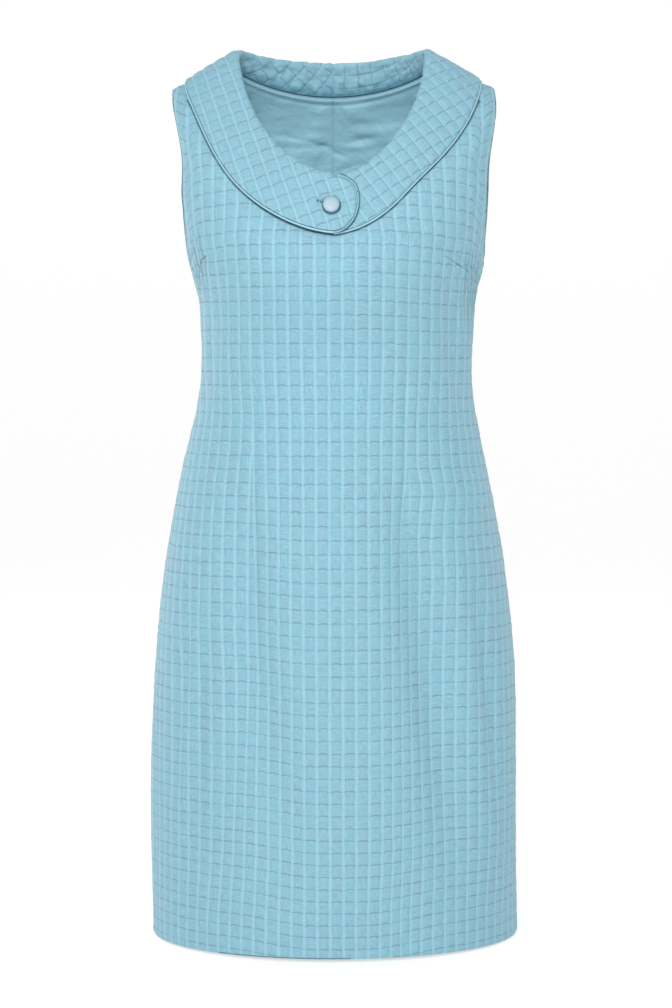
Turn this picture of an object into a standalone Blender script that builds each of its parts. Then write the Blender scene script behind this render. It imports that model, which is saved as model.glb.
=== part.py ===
"""Sleeveless sheath dress with a wide roll collar, filled out as if worn, with no wearer.

Metres, +Z up. The dress faces -Y and +X is the viewer's right. The origin lies midway between the two high
shoulder points, where the collar rolls over, so the dress hangs down from Z = 0.

The body is a loft through named sections. Each section is a closed ring round the figure: its side, centre
front and centre back points have a width or depth and a height of their own, so the rings are level in the
skirt and tilt smoothly until the last one is the neck seam. Panels are parts of that loft with a wall. The
collar is a hairpin section (stand, roll, fall) carried round the neck seam.
"""

import math

import bmesh
import bpy
import numpy as np
from mathutils import Matrix, Vector

# Driving dimensions, in metres.
SHELL_WALL = 0.0020
LINING_WALL = 0.0010
LINING_CLEARANCE = 0.0018
LINING_SHORTER_BY = 0.028
SEAM_GAP = 0.0003
COLLAR_WALL = 0.0028
COLLAR_CLEARANCE = 0.0012
ROLL_RADIUS = 0.0028
FALL_BULGE = 0.0008
TAB_REACH = 0.0240
TAB_SQUARENESS = 2.2
UNDERLAP_REACH = 0.0240
UNDERLAP_SQUARENESS = 1.5
OVERLAP_LIFT = COLLAR_WALL + 0.0012
OVERLAP_START = 0.065
OVERLAP_FULL = 0.030
PIPING_RADIUS = 0.0010
PIPING_OFFSET = PIPING_RADIUS + SEAM_GAP
BUTTON_RADIUS = 0.0088
BUTTON_DOME = 0.0032
BUTTON_RIM = 0.0012
BUTTON_CLEARANCE = 0.0005
DOME_SQUARENESS = 0.8
BUTTON_BACK_SHARE = 0.96
BUTTON_X = -0.0030
BUTTON_Z = -0.1760
SHANK_RADIUS = 0.0013
BUTTONHOLE_LENGTH = 0.0190
BUTTONHOLE_WIDTH = 0.0037
BUTTONHOLE_PAST = 0.0022
LIP_PROUD = 0.0003
LIP_ROUND = 0.0004
BUTTONHOLE_TILT = math.radians(-20.0)
ARMHOLE_FRONT_REACH = 0.050
ARMHOLE_BACK_REACH = 0.046
TROUGH_FADE = 0.020
SEAM_SOFTNESS = 0.16
BACK_DIP = 1.7

# Sections of the body from hem to neck seam. Widths and depths are from the centre line; heights are below
# the shoulder points. "front_power" and "back_power" under 1 make that side fuller, "point" draws the front
# to a V.
SECTION_COLUMNS = (
    "side_x", "side_z", "front_y", "front_z", "back_y", "back_z", "front_power", "back_power", "dip", "point"
)
SECTIONS = {
    "hem": (0.1998, -0.961, 0.1360, -0.9590, 0.1230, -0.961, 1.00, 0.92, 1.6, 0.0),
    "low skirt": (0.2000, -0.865, 0.1355, -0.8660, 0.1240, -0.865, 0.98, 0.92, 1.6, 0.0),
    "skirt": (0.1996, -0.770, 0.1340, -0.7700, 0.1250, -0.770, 0.96, 0.90, 1.6, 0.0),
    "thigh": (0.1976, -0.705, 0.1320, -0.7050, 0.1270, -0.705, 0.94, 0.88, 1.6, 0.0),
    "low hip": (0.1934, -0.640, 0.1300, -0.6400, 0.1285, -0.640, 0.92, 0.86, 1.6, 0.0),
    "hip": (0.1880, -0.588, 0.1280, -0.5880, 0.1275, -0.588, 0.90, 0.85, 1.6, 0.0),
    "high hip": (0.1815, -0.542, 0.1250, -0.5420, 0.1220, -0.542, 0.90, 0.86, 1.6, 0.0),
    "belly": (0.1695, -0.477, 0.1185, -0.4770, 0.1080, -0.477, 0.92, 0.88, 1.6, 0.0),
    "low waist": (0.1562, -0.412, 0.1110, -0.4130, 0.0935, -0.412, 0.94, 0.90, 1.6, 0.0),
    "waist": (0.1480, -0.350, 0.1080, -0.3560, 0.0865, -0.352, 0.94, 0.90, 1.6, 0.0),
    "rib": (0.1500, -0.305, 0.1130, -0.3190, 0.0870, -0.312, 0.92, 0.88, 1.6, 0.0),
    "under bust": (0.1520, -0.270, 0.1230, -0.2880, 0.0910, -0.278, 0.88, 0.86, 1.6, 0.0),
    "underarm": (0.1575, -0.236, 0.1310, -0.2620, 0.0965, -0.246, 0.86, 0.84, 1.6, 0.0),
    "low armhole": (0.1650, -0.195, 0.1340, -0.2400, 0.1020, -0.214, 0.86, 0.84, 1.5, 0.0),
    "mid armhole": (0.1725, -0.140, 0.1320, -0.2200, 0.1055, -0.170, 0.88, 0.86, 1.5, 0.0),
    "high armhole": (0.1758, -0.085, 0.1265, -0.2020, 0.1030, -0.125, 0.92, 0.90, 1.4, 0.05),
    "shoulder tip": (0.1726, -0.037, 0.1200, -0.1860, 0.0960, -0.092, 0.96, 0.95, 1.3, 0.10),
    "shoulder": (0.1480, -0.0315, 0.1130, -0.1705, 0.0870, -0.068, 1.00, 1.00, 1.2, 0.14),
    "neck seam": (0.1085, -0.0205, 0.1050, -0.1520, 0.0750, -0.047, 1.00, 1.00, 1.12, 0.17),
}
# The line along the top of each collar half's roll, with the same columns. side -1 is on the viewer's left.
ROLLS = {
    -1: (0.1048, -0.0008, 0.1100, -0.1475, 0.0680, -0.0115, 1.00, 1.00, 1.12, 0.17),
    1: (0.1020, -0.0008, 0.1100, -0.1470, 0.0680, -0.0115, 1.00, 1.00, 1.12, 0.17),
}
# How far each half's fall reaches over the body from the neck seam, by the angle in degrees from centre front.
FALL_ANGLES = (0, 15, 30, 45, 60, 75, 90, 120, 150, 180)
FALL_WIDTHS = {
    -1: (0.0590, 0.0565, 0.0540, 0.0505, 0.0485, 0.0490, 0.0500, 0.0540, 0.0590, 0.0615),
    1: (0.0590, 0.0520, 0.0410, 0.0405, 0.0448, 0.0480, 0.0500, 0.0540, 0.0590, 0.0615),
}

# Soft troughs in the cloth: where they lie round the figure (degrees from centre front, positive to the
# viewer's right), the heights they run between, and their width and depth.
TROUGH_COLUMNS = ("low_angle", "high_angle", "low_z", "high_z", "width", "depth")
TROUGHS = {
    "waist dart left": (-34.0, -38.0, -0.600, -0.300, 0.007, 0.0016),
    "waist dart right": (34.0, 38.0, -0.600, -0.300, 0.007, 0.0016),
    "bust dart left": (-62.0, -80.0, -0.262, -0.232, 0.009, 0.0018),
    "bust dart right": (62.0, 80.0, -0.262, -0.232, 0.009, 0.0018),
    "back dart left": (-148.0, -150.0, -0.560, -0.230, 0.008, 0.0016),
    "back dart right": (148.0, 150.0, -0.560, -0.230, 0.008, 0.0016),
    "side crease right": (66.0, 52.0, -0.400, -0.270, 0.016, 0.0030),
    "side crease left": (-70.0, -58.0, -0.390, -0.290, 0.016, 0.0018),
    "back waist crease left": (-118.0, -132.0, -0.390, -0.300, 0.016, 0.0026),
    "back waist crease right": (112.0, 130.0, -0.380, -0.310, 0.016, 0.0022),
}

# Points of each grid, along and across.
SKIRT_ROWS = 6
WAIST_ROWS = 9
ARMHOLE_ROWS = 9
SHOULDER_ROWS = 3
FRONT_COLUMNS = 26
LINING_COLUMNS = 14
COLLAR_STEPS = 30
STAND_STEPS = 2
ROLL_STEPS = 5
FALL_STEPS = 10
FINE = 721
FINE_COLLAR = 600
FINE_FALL = 300
PAST_FRONT = 0.35
FRONT_CROWDING = 1.2
NEAR = 0.004
BUTTON_RINGS = 6
BUTTON_SIDES = 28
SHANK_SIDES = 16
MERGE = 0.00002
SHARP_ANGLE = math.radians(50)

BLUE = (0.31, 0.60, 0.72)
SATIN = (0.42, 0.60, 0.69)


def smooth_through(known_at, values, wanted_at):
    """Natural cubic spline through the rows of values, read at each wanted place."""
    step = np.diff(known_at)
    count = len(known_at)
    system = np.eye(count)
    right = np.zeros_like(values)
    for place in range(1, count - 1):
        before, after = step[place - 1], step[place]
        system[place, place - 1 : place + 2] = before, 2 * (before + after), after
        rise_before = (values[place] - values[place - 1]) / before
        rise_after = (values[place + 1] - values[place]) / after
        right[place] = 6 * (rise_after - rise_before)
    bend = np.linalg.solve(system, right)
    index = np.clip(np.searchsorted(known_at, wanted_at, side="right") - 1, 0, count - 2)
    width = step[index][:, None]
    high = (wanted_at - known_at[index])[:, None] / width
    low = 1 - high
    curve = (low**3 - low) * bend[index] + (high**3 - high) * bend[index + 1]
    return low * values[index] + high * values[index + 1] + curve * width**2 / 6


def section_stations():
    """How far up the body each section lies: the mean of the side and front distances between sections."""
    table = np.array(list(SECTIONS.values()))
    column = {name: table[:, place] for place, name in enumerate(SECTION_COLUMNS)}
    side = np.hypot(np.diff(column["side_x"]), np.diff(column["side_z"]))
    front = np.hypot(np.diff(column["front_y"]), np.diff(column["front_z"]))
    return np.concatenate([[0.0], np.cumsum((side + front) / 2)])


STATIONS = section_stations()
STATION_OF = dict(zip(SECTIONS, STATIONS))
UNDERARM = STATION_OF["underarm"]
TIP = STATION_OF["shoulder tip"]


def ring_points(angle, row):
    """Points of a ring at these angles from centre front. row holds the section's columns."""
    side_x, side_z, front_y, front_z, back_y, back_z, front_power, back_power, dip, point = row
    cosine, sine = np.cos(angle), np.sin(angle)
    soft = np.sqrt(cosine**2 + SEAM_SOFTNESS**2)
    full = (1 + math.sqrt(1 + SEAM_SOFTNESS**2)) / 2
    forward = (cosine + soft) / 2 / full
    backward = (soft - cosine) / 2 / full
    x = side_x * np.sign(sine) * np.abs(sine) ** (1 + point * forward)
    y = back_y * backward**back_power - front_y * forward**front_power
    z = side_z + (front_z - side_z) * forward**dip + (back_z - side_z) * backward**BACK_DIP
    return np.stack(np.broadcast_arrays(x, y, z), axis=-1)


def bump(value, low, high):
    """1 in the middle between low and high, falling smoothly to 0 at both."""
    part = np.clip((value - low) / (high - low), 0, 1)
    return np.sin(math.pi * part) ** 2


def add_troughs(points, angle):
    """Draws the points in towards the figure's middle line along each trough."""
    depth = np.zeros(points.shape[:-1])
    radius = np.hypot(points[..., 0], points[..., 1])
    for row in TROUGHS.values():
        trough = dict(zip(TROUGH_COLUMNS, row))
        climb = (points[..., 2] - trough["low_z"]) / (trough["high_z"] - trough["low_z"])
        middle = trough["low_angle"] + (trough["high_angle"] - trough["low_angle"]) * climb
        away = (angle - np.radians(middle)) * radius / trough["width"]
        along = bump(points[..., 2], trough["low_z"] - TROUGH_FADE, trough["high_z"] + TROUGH_FADE) ** 0.5
        depth += trough["depth"] * np.exp(-(away**2)) * along
    shrink = 1 - depth / np.maximum(radius, 1e-6)
    return points * np.stack([shrink, shrink, np.ones_like(shrink)], axis=-1)


def body_points(angle, station):
    """Points of the body's outer surface. angle and station have the same shape."""
    angle, station = np.broadcast_arrays(np.asarray(angle, float), np.asarray(station, float))
    rows = smooth_through(STATIONS, np.array(list(SECTIONS.values())), station.ravel())
    columns = [rows[:, place].reshape(station.shape) for place in range(len(SECTION_COLUMNS))]
    return add_troughs(ring_points(angle, columns), angle)


def body_normals(angle, station):
    """Unit vectors out of the body's surface."""
    step_angle, step_station = 1e-3, 5e-4
    below = np.maximum(station - step_station, 0)
    above = np.minimum(station + step_station, STATIONS[-1])
    round_it = body_points(angle + step_angle, station) - body_points(angle - step_angle, station)
    up_it = body_points(angle, above) - body_points(angle, below)
    normal = np.cross(round_it, up_it)
    return normal / np.linalg.norm(normal, axis=-1, keepdims=True)


def panel_stations(low):
    """Rows of a panel: sparse in the straight skirt, closer at the waist and at both ends of the armhole."""
    hip = STATION_OF["high hip"]
    skirt = np.linspace(0, hip, SKIRT_ROWS + 1)
    waist = np.linspace(hip, UNDERARM, WAIST_ROWS + 1)[1:]
    turn = np.linspace(0, math.pi, ARMHOLE_ROWS + 1)[1:]
    armhole = UNDERARM + (TIP - UNDERARM) * (1 - np.cos(turn)) / 2
    shoulder = np.linspace(TIP, STATIONS[-1], SHOULDER_ROWS + 1)[1:]
    return np.concatenate([[low], skirt[1:], waist, armhole, shoulder])


def side_edge(stations, reach, inset):
    """How far from the side seam's line each row of a panel stops: half a gap, or the armhole's edge."""
    part = (2 * stations - UNDERARM - TIP) / (TIP - UNDERARM)
    opening = (reach + inset) * np.sqrt(np.clip(1 - part**2, 0, 1))
    return np.maximum(opening, SEAM_GAP / 2)


def panel_grid(stations, columns, front, side, depths):
    """Grids of points at each depth under the body's surface, rows from hem to neck.

    side is 0 for a whole front, or -1 or 1 for one half of the back. The armhole's edge is set back by the
    first depth, so that a lining ends inside the shell's edge.
    """
    angles = np.linspace(0, math.pi, FINE)
    rows = body_points(angles[None, :], stations[:, None])
    from_seam = rows[..., 1] - rows[:, FINE // 2, 1][:, None]
    reach = ARMHOLE_FRONT_REACH if front else ARMHOLE_BACK_REACH
    stop = side_edge(stations, reach, depths[0])
    edge = np.array([np.interp(-s if front else s, d, angles) for s, d in zip(stop, from_seam)])
    middle = math.pi - SEAM_GAP / 2 / np.abs(rows[:, -1, 1])
    start, end = (-edge, edge) if front else (edge, middle)
    fine = start[:, None] + (end - start)[:, None] * np.linspace(0, 1, FINE)
    curve = body_points(fine, stations[:, None])
    step = np.linalg.norm(np.diff(curve, axis=1), axis=2)
    length = np.concatenate([np.zeros((len(stations), 1)), np.cumsum(step, axis=1)], axis=1)
    share = np.linspace(0, 1, columns + 1)
    angle = np.array([np.interp(share * run[-1], run, line) for run, line in zip(length, fine)])
    level = stations[:, None] + 0 * angle
    surface, normal = body_points(angle, level), body_normals(angle, level)
    grids = [surface - depth * normal for depth in depths]
    if side < 0:
        grids = [grid[:, ::-1] * np.array([-1.0, 1.0, 1.0]) for grid in grids]
    return grids


def material(name, colour, roughness):
    made = bpy.data.materials.new(name)
    made.use_nodes = True
    shader = made.node_tree.nodes["Principled BSDF"]
    shader.inputs["Base Color"].default_value = (*colour, 1.0)
    shader.inputs["Roughness"].default_value = roughness
    shader.inputs["Metallic"].default_value = 0.0
    return made


def collection(name):
    made = bpy.data.collections.new(name)
    bpy.context.scene.collection.children.link(made)
    return made


def add_object(name, mesh, finish, home):
    made = bpy.data.objects.new(name, mesh)
    mesh.materials.append(finish)
    mesh.shade_smooth()
    home.objects.link(made)
    return made


def add_sheet(name, outer, inner, finish, home):
    """A walled piece of cloth as a closed loft: its outer grid, its inner grid and the rim between them."""
    rows, columns = outer.shape[:2]
    index = np.arange(rows * columns).reshape(rows, columns)
    quads = np.stack([index[:-1, :-1], index[:-1, 1:], index[1:, 1:], index[1:, :-1]], axis=-1).reshape(-1, 4)
    rim = np.concatenate([index[0, :-1], index[:-1, -1], index[-1, :0:-1], index[:0:-1, 0]])
    after = np.roll(rim, -1)
    under = rows * columns
    walls = np.stack([after, rim, rim + under, after + under], axis=-1)
    faces = np.concatenate([quads, quads[:, ::-1] + under, walls])
    mesh = bpy.data.meshes.new(name)
    mesh.from_pydata(np.concatenate([outer, inner]).reshape(-1, 3).tolist(), [], faces.tolist())
    mesh.update()
    sheet = add_object(name, mesh, finish, home)
    mesh.set_sharp_from_angle(angle=SHARP_ANGLE)
    return sheet


def grid_normals(grid):
    """Unit normals of a grid of points, from the directions along its rows and columns."""
    along, across = np.gradient(grid, axis=0), np.gradient(grid, axis=1)
    return unit(np.cross(across, along))


def unit(vectors):
    return vectors / np.linalg.norm(vectors, axis=-1, keepdims=True)


def collar_edge(angle, side):
    """Point and normal on the body where the fall's edge lies, for one angle."""
    stations = np.linspace(STATIONS[-1], STATION_OF["low armhole"], FINE_FALL)
    line = body_points(angle, stations)
    knots = np.radians(FALL_ANGLES)
    widths = np.array(FALL_WIDTHS[side])[:, None]
    width = smooth_through(knots, widths, np.array([abs(angle)]))[0, 0]
    station = np.interp(width, lengths_along(line), stations)
    return body_points(angle, station), body_normals(angle, station)


def collar_section(angle, lift, side):
    """Hairpin through the collar's middle at one angle: up the stand, round the roll and down the fall.

    The stand and the fall are the tangents of the roll's circle from the neck seam and from the fall's edge.
    lift raises the fall and widens the roll, where this half laps over the other.
    """
    neck = STATIONS[-1]
    seam = body_points(angle, neck)
    seam_normal = body_normals(angle, neck)
    inward = unit(seam - body_points(angle, neck - NEAR))
    foot = seam - seam_normal * SHELL_WALL / 2 + inward * (COLLAR_WALL / 2 + 3 * SEAM_GAP)
    edge, edge_normal = collar_edge(angle, side)
    edge = edge + edge_normal * (COLLAR_WALL / 2 + COLLAR_CLEARANCE + lift)
    radius = ROLL_RADIUS + lift / 2
    top = ring_points(angle, ROLLS[side])
    out = unit((edge - foot) * np.array([1.0, 1.0, 0.0]))
    centre = top - np.array([0, 0, ROLL_RADIUS]) + out * (lift / 2)
    to_foot, to_edge = unit(foot - centre), unit(edge - centre)
    away_up = -unit(to_foot + to_edge)
    away_out = unit(to_edge - away_up * np.dot(to_edge, away_up))

    def tangent_turn(point):
        distance = np.linalg.norm(point - centre)
        turn = math.acos(np.dot(point - centre, away_up) / distance)
        return turn - math.acos(min(radius / distance, 1.0))

    turns = np.linspace(-tangent_turn(foot), tangent_turn(edge), ROLL_STEPS + 1)
    arc = centre + radius * (np.cos(turns)[:, None] * away_up + np.sin(turns)[:, None] * away_out)
    stand = foot + (arc[0] - foot) * np.linspace(0, 1, STAND_STEPS + 1)[:-1, None]
    across = (1 - np.cos(np.linspace(0, math.pi, FALL_STEPS + 1)[1:])) / 2
    bulge = FALL_BULGE * np.sin(math.pi * across)[:, None]
    fall = arc[-1] + (edge - arc[-1]) * across[:, None] + edge_normal * bulge
    return np.concatenate([stand, arc, fall])


def lengths_along(line):
    """Distance of each point of a line from its first point."""
    return np.concatenate([[0], np.cumsum(np.linalg.norm(np.diff(line, axis=0), axis=1))])


def even_points(line, wanted):
    """Points of a line at the wanted distances along it."""
    length = lengths_along(line)
    return np.stack([np.interp(wanted, length, line[:, axis]) for axis in range(3)], axis=1)


def overlap(angle, side):
    """How far this half lies above the other near centre front. Only the viewer's left half laps over."""
    if side > 0 or angle > math.pi / 2:
        return 0.0
    x = side * ring_points(angle, ROLLS[side])[0]
    part = np.clip((x + OVERLAP_START) / (OVERLAP_START - OVERLAP_FULL), 0, 1)
    return OVERLAP_LIFT * part**2 * (3 - 2 * part)


def collar_reach(side):
    """How far past centre front each line of the section runs: the tab's round end on the fall, else nothing."""
    across = -np.cos(np.linspace(0, math.pi, FALL_STEPS + 1)[1:])
    if side < 0:
        fall = TAB_REACH * np.sqrt(np.clip(1 - np.abs(across) ** TAB_SQUARENESS, 0, 1))
    else:
        fall = UNDERLAP_REACH * (1 - np.abs(across) ** UNDERLAP_SQUARENESS)
    return np.concatenate([np.zeros(STAND_STEPS + ROLL_STEPS + 1), fall])


def collar_grid(side):
    """Grid of one collar half: rows from centre back to its end past centre front, columns along it."""
    back = math.pi - SEAM_GAP / 2 / ROLLS[side][4]
    past = np.linspace(back, -PAST_FRONT, FINE_COLLAR)
    sections = []
    for angle in past:
        sections.append(collar_section(angle, overlap(angle, side), side) * np.array([side, 1.0, 1.0]))
    sections = np.array(sections)
    ends = collar_reach(side) - SEAM_GAP
    front_half = FINE_COLLAR // 2
    share = np.linspace(0, 1, COLLAR_STEPS + 1)
    lines = []
    for column, end in enumerate(ends):
        line = sections[:, column]
        length = lengths_along(line)
        stop = np.interp(end, -side * line[front_half:, 0], length[front_half:])
        lines.append(even_points(line, stop * (1 - (1 - share) ** FRONT_CROWDING)))
    grid = np.stack(lines, axis=1)
    return grid if side < 0 else grid[:, ::-1]


def piping_path(grid, side):
    """Middle line of the piping: just outside the fall's edge, and round the tab's end up to the roll."""
    normals = grid_normals(grid)
    if side > 0:
        border, upright = grid[:, 0], normals[:, 0]
    else:
        first = STAND_STEPS + ROLL_STEPS + 1
        border = np.concatenate([grid[:, -1], grid[-1, first:-1][::-1]])
        upright = np.concatenate([normals[:, -1], normals[-1, first:-1][::-1]])
    outward = unit(np.cross(unit(np.gradient(border, axis=0)), upright))
    return border + side * outward * -PIPING_OFFSET


def spot_on(grid, x, z):
    """Place and outward normal of a grid near its front, at this x and z."""
    normals = grid_normals(grid)
    away = np.hypot(grid[..., 0] - x, grid[..., 2] - z) + (grid[..., 1] > 0)
    away[:, : STAND_STEPS + ROLL_STEPS] += 1
    place = np.unravel_index(np.argmin(away), away.shape)
    near, normal = grid[place], normals[place]
    y = near[1] - (normal[0] * (x - near[0]) + normal[2] * (z - near[2])) / normal[1]
    return Vector((x, y, z)), Vector(normal)


def add_curve_tube(name, path, radius, finish, home):
    """A round cord along a path, with closed ends."""
    curve = bpy.data.curves.new(name, "CURVE")
    curve.dimensions = "3D"
    curve.bevel_depth = radius
    curve.bevel_resolution = 1
    curve.use_fill_caps = True
    spline = curve.splines.new("POLY")
    spline.points.add(len(path) - 1)
    for point, place in zip(spline.points, path):
        point.co = (*place, 1.0)
    curve.materials.append(finish)
    cord = bpy.data.objects.new(name, curve)
    home.objects.link(cord)
    return cord


def add_primitive(name, make, finish, home, place, **sizes):
    """An object made by one of bmesh's primitives, moved by a matrix."""
    mesh = bpy.data.meshes.new(name)
    shape = bmesh.new()
    make(shape, **sizes)
    shape.to_mesh(mesh)
    shape.free()
    made = add_object(name, mesh, finish, home)
    made.matrix_world = place
    return made


def button_profile():
    """Outer side of the covered button from the top of its dome to the middle of its back."""
    turns = np.linspace(0, math.pi / 2, BUTTON_RINGS)
    out = [BUTTON_RADIUS * math.sin(turn) ** DOME_SQUARENESS for turn in turns]
    up = [BUTTON_RIM + BUTTON_DOME * math.cos(turn) for turn in turns]
    return [*zip(out, up), (BUTTON_RADIUS * BUTTON_BACK_SHARE, 0.0), (0.0, 0.0)]


def add_button(finish, home, place):
    mesh = bpy.data.meshes.new("button")
    profile = button_profile()
    edges = [(start, start + 1) for start in range(len(profile) - 1)]
    mesh.from_pydata([(radius, 0.0, height) for radius, height in profile], edges, [])
    button = add_object("button", mesh, finish, home)
    button.matrix_world = place
    screw = button.modifiers.new("Turn", "SCREW")
    screw.steps = BUTTON_SIDES
    screw.render_steps = BUTTON_SIDES
    screw.use_merge_vertices = True
    screw.merge_threshold = MERGE
    screw.use_smooth_shade = True
    return button


def add_fastening(tab, tab_grid, cloth, satin, home, cutters):
    """The covered button with its shank, the slot cut in the tab and the two lips that bind it."""
    spot, normal = spot_on(tab_grid, BUTTON_X, BUTTON_Z)
    out = normal.normalized()
    sideways = Vector((1, 0, 0))
    sideways = (sideways - out * sideways.dot(out)).normalized()
    upward = out.cross(sideways)
    frame = Matrix((sideways, upward, out)).transposed().to_4x4()
    frame.translation = spot
    slot = frame @ Matrix.Rotation(BUTTONHOLE_TILT, 4, "Z")
    face = COLLAR_WALL / 2

    add_button(satin, home, frame @ Matrix.Translation((0, 0, face + BUTTON_CLEARANCE)))
    shank_top = face + BUTTON_CLEARANCE - SEAM_GAP
    shank_foot = COLLAR_WALL / 2 - OVERLAP_LIFT + SEAM_GAP
    add_primitive(
        "button_shank", bmesh.ops.create_cone, satin, home,
        frame @ Matrix.Translation((0, 0, (shank_top + shank_foot) / 2)),
        cap_ends=True, segments=SHANK_SIDES, radius1=SHANK_RADIUS, radius2=SHANK_RADIUS,
        depth=shank_top - shank_foot,
    )
    middle = BUTTONHOLE_PAST - BUTTONHOLE_LENGTH / 2
    cutter_size = Matrix.Diagonal((BUTTONHOLE_LENGTH, BUTTONHOLE_WIDTH, 4 * COLLAR_WALL, 1))
    cutter = add_primitive(
        "buttonhole_cutter", bmesh.ops.create_cube, cloth, cutters,
        slot @ Matrix.Translation((middle, 0, 0)), size=1.0, matrix=cutter_size,
    )
    cutter.hide_render = True
    cutter.display_type = "WIRE"
    cut = tab.modifiers.new("Buttonhole", "BOOLEAN")
    cut.operation = "DIFFERENCE"
    cut.solver = "EXACT"
    cut.object = cutter

    lip_width = (BUTTONHOLE_WIDTH - 3 * SEAM_GAP) / 2
    lip_start = BUTTONHOLE_PAST - BUTTONHOLE_LENGTH + SEAM_GAP
    lip_length = -SHANK_RADIUS - SEAM_GAP - lip_start
    lip_size = Matrix.Diagonal((lip_length, lip_width, COLLAR_WALL + 2 * LIP_PROUD, 1))
    for name, way in (("buttonhole_lip_upper", 1), ("buttonhole_lip_lower", -1)):
        across = way * (lip_width + SEAM_GAP) / 2
        lip = add_primitive(
            name, bmesh.ops.create_cube, cloth, home,
            slot @ Matrix.Translation((lip_start + lip_length / 2, across, 0)), size=1.0, matrix=lip_size,
        )
        bevel = lip.modifiers.new("Round", "BEVEL")
        bevel.width = LIP_ROUND
        bevel.segments = 2


def clear_scene():
    for old in list(bpy.data.objects):
        bpy.data.objects.remove(old, do_unlink=True)


def build_body(cloth, home):
    stations = panel_stations(0.0)
    depths = (0.0, SHELL_WALL)
    add_sheet("front", *panel_grid(stations, FRONT_COLUMNS, True, 0, depths), cloth, home)
    for name, side in (("back_left", -1), ("back_right", 1)):
        add_sheet(name, *panel_grid(stations, FRONT_COLUMNS // 2, False, side, depths), cloth, home)


def build_lining(satin, home):
    stations = panel_stations(LINING_SHORTER_BY)
    outer = SHELL_WALL + LINING_CLEARANCE
    depths = (outer, outer + LINING_WALL)
    add_sheet("lining_front", *panel_grid(stations, LINING_COLUMNS, True, 0, depths), satin, home)
    for name, side in (("lining_back_left", -1), ("lining_back_right", 1)):
        add_sheet(name, *panel_grid(stations, LINING_COLUMNS // 2, False, side, depths), satin, home)


def build_collar(cloth, satin, home, cutters):
    for word, side in (("left", -1), ("right", 1)):
        middle = collar_grid(side)
        half_wall = grid_normals(middle) * COLLAR_WALL / 2
        half = add_sheet(f"collar_{word}", middle + half_wall, middle - half_wall, cloth, home)
        add_curve_tube(f"piping_{word}", piping_path(middle, side), PIPING_RADIUS, satin, home)
        if side < 0:
            add_fastening(half, middle, cloth, satin, home, cutters)


def build():
    clear_scene()
    dress = collection("sheath_dress")
    cutters = collection("cutters")
    cloth = material("blister cloth", BLUE, 0.75)
    satin = material("satin", SATIN, 0.40)
    build_body(cloth, dress)
    build_lining(satin, dress)
    build_collar(cloth, satin, dress, cutters)


build()
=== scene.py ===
"""Looks of a sleeveless sheath dress in light blue blister cloth, filled out as if worn, with no wearer.

Metres, +Z up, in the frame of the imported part: the dress faces -Y, +X is the viewer's right and the origin lies
midway between the high shoulder points. The body's surface repeats the part's own named sections, so each piece
here lies where its solid does. A piece is a grid of two parameters worked out with numpy: round the figure and up
it for a panel, along and across for the collar, round and out for the button.
"""

from __future__ import annotations

import logging
import math
from dataclasses import dataclass, field
from enum import Enum
from typing import Callable, Sequence

import bpy
import numpy as np
from mathutils import Matrix, Vector

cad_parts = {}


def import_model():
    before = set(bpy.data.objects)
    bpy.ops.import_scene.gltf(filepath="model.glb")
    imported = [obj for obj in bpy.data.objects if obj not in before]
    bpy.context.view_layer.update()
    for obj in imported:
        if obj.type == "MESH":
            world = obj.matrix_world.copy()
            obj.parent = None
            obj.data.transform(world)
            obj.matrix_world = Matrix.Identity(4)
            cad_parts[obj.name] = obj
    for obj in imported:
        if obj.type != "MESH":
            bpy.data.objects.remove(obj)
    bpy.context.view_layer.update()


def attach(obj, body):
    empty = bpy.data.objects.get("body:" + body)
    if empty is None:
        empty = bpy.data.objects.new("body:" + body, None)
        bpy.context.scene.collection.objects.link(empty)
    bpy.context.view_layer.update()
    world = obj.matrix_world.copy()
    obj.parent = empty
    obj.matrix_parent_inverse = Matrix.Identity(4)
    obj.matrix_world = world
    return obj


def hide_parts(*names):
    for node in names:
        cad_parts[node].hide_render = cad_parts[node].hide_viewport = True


Array = np.ndarray
LOG = logging.getLogger("sheath_dress")

# The part's own sizes, in metres.
SHELL_WALL = 0.0020
LINING_WALL = 0.0010
LINING_CLEARANCE = 0.0018
LINING_SHORTER_BY = 0.028
SEAM_GAP = 0.0003
SEWN_GAP = -0.0002
COLLAR_WALL = 0.0028
COLLAR_CLEARANCE = 0.0012
ROLL_RADIUS = 0.0028
FALL_BULGE = 0.0008
TAB_REACH = 0.0240
TAB_SQUARENESS = 2.2
UNDERLAP_REACH = 0.0240
UNDERLAP_SQUARENESS = 1.5
OVERLAP_LIFT = COLLAR_WALL + 0.0012
OVERLAP_START = 0.065
OVERLAP_FULL = 0.030
PIPING_RADIUS = 0.0010
BUTTON_X = -0.0025
BUTTON_Z = -0.1782
BUTTONHOLE_TILT = math.radians(-20.0)
ARMHOLE_FRONT_REACH = 0.050
ARMHOLE_BACK_REACH = 0.046
SEAM_SOFTNESS = 0.16
BACK_DIP = 1.7
NEAR = 0.004
PAST_FRONT = 0.35
# The heights between which the cloth's rows are worked out.
LOWEST = -0.966
HIGHEST = -0.018

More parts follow.
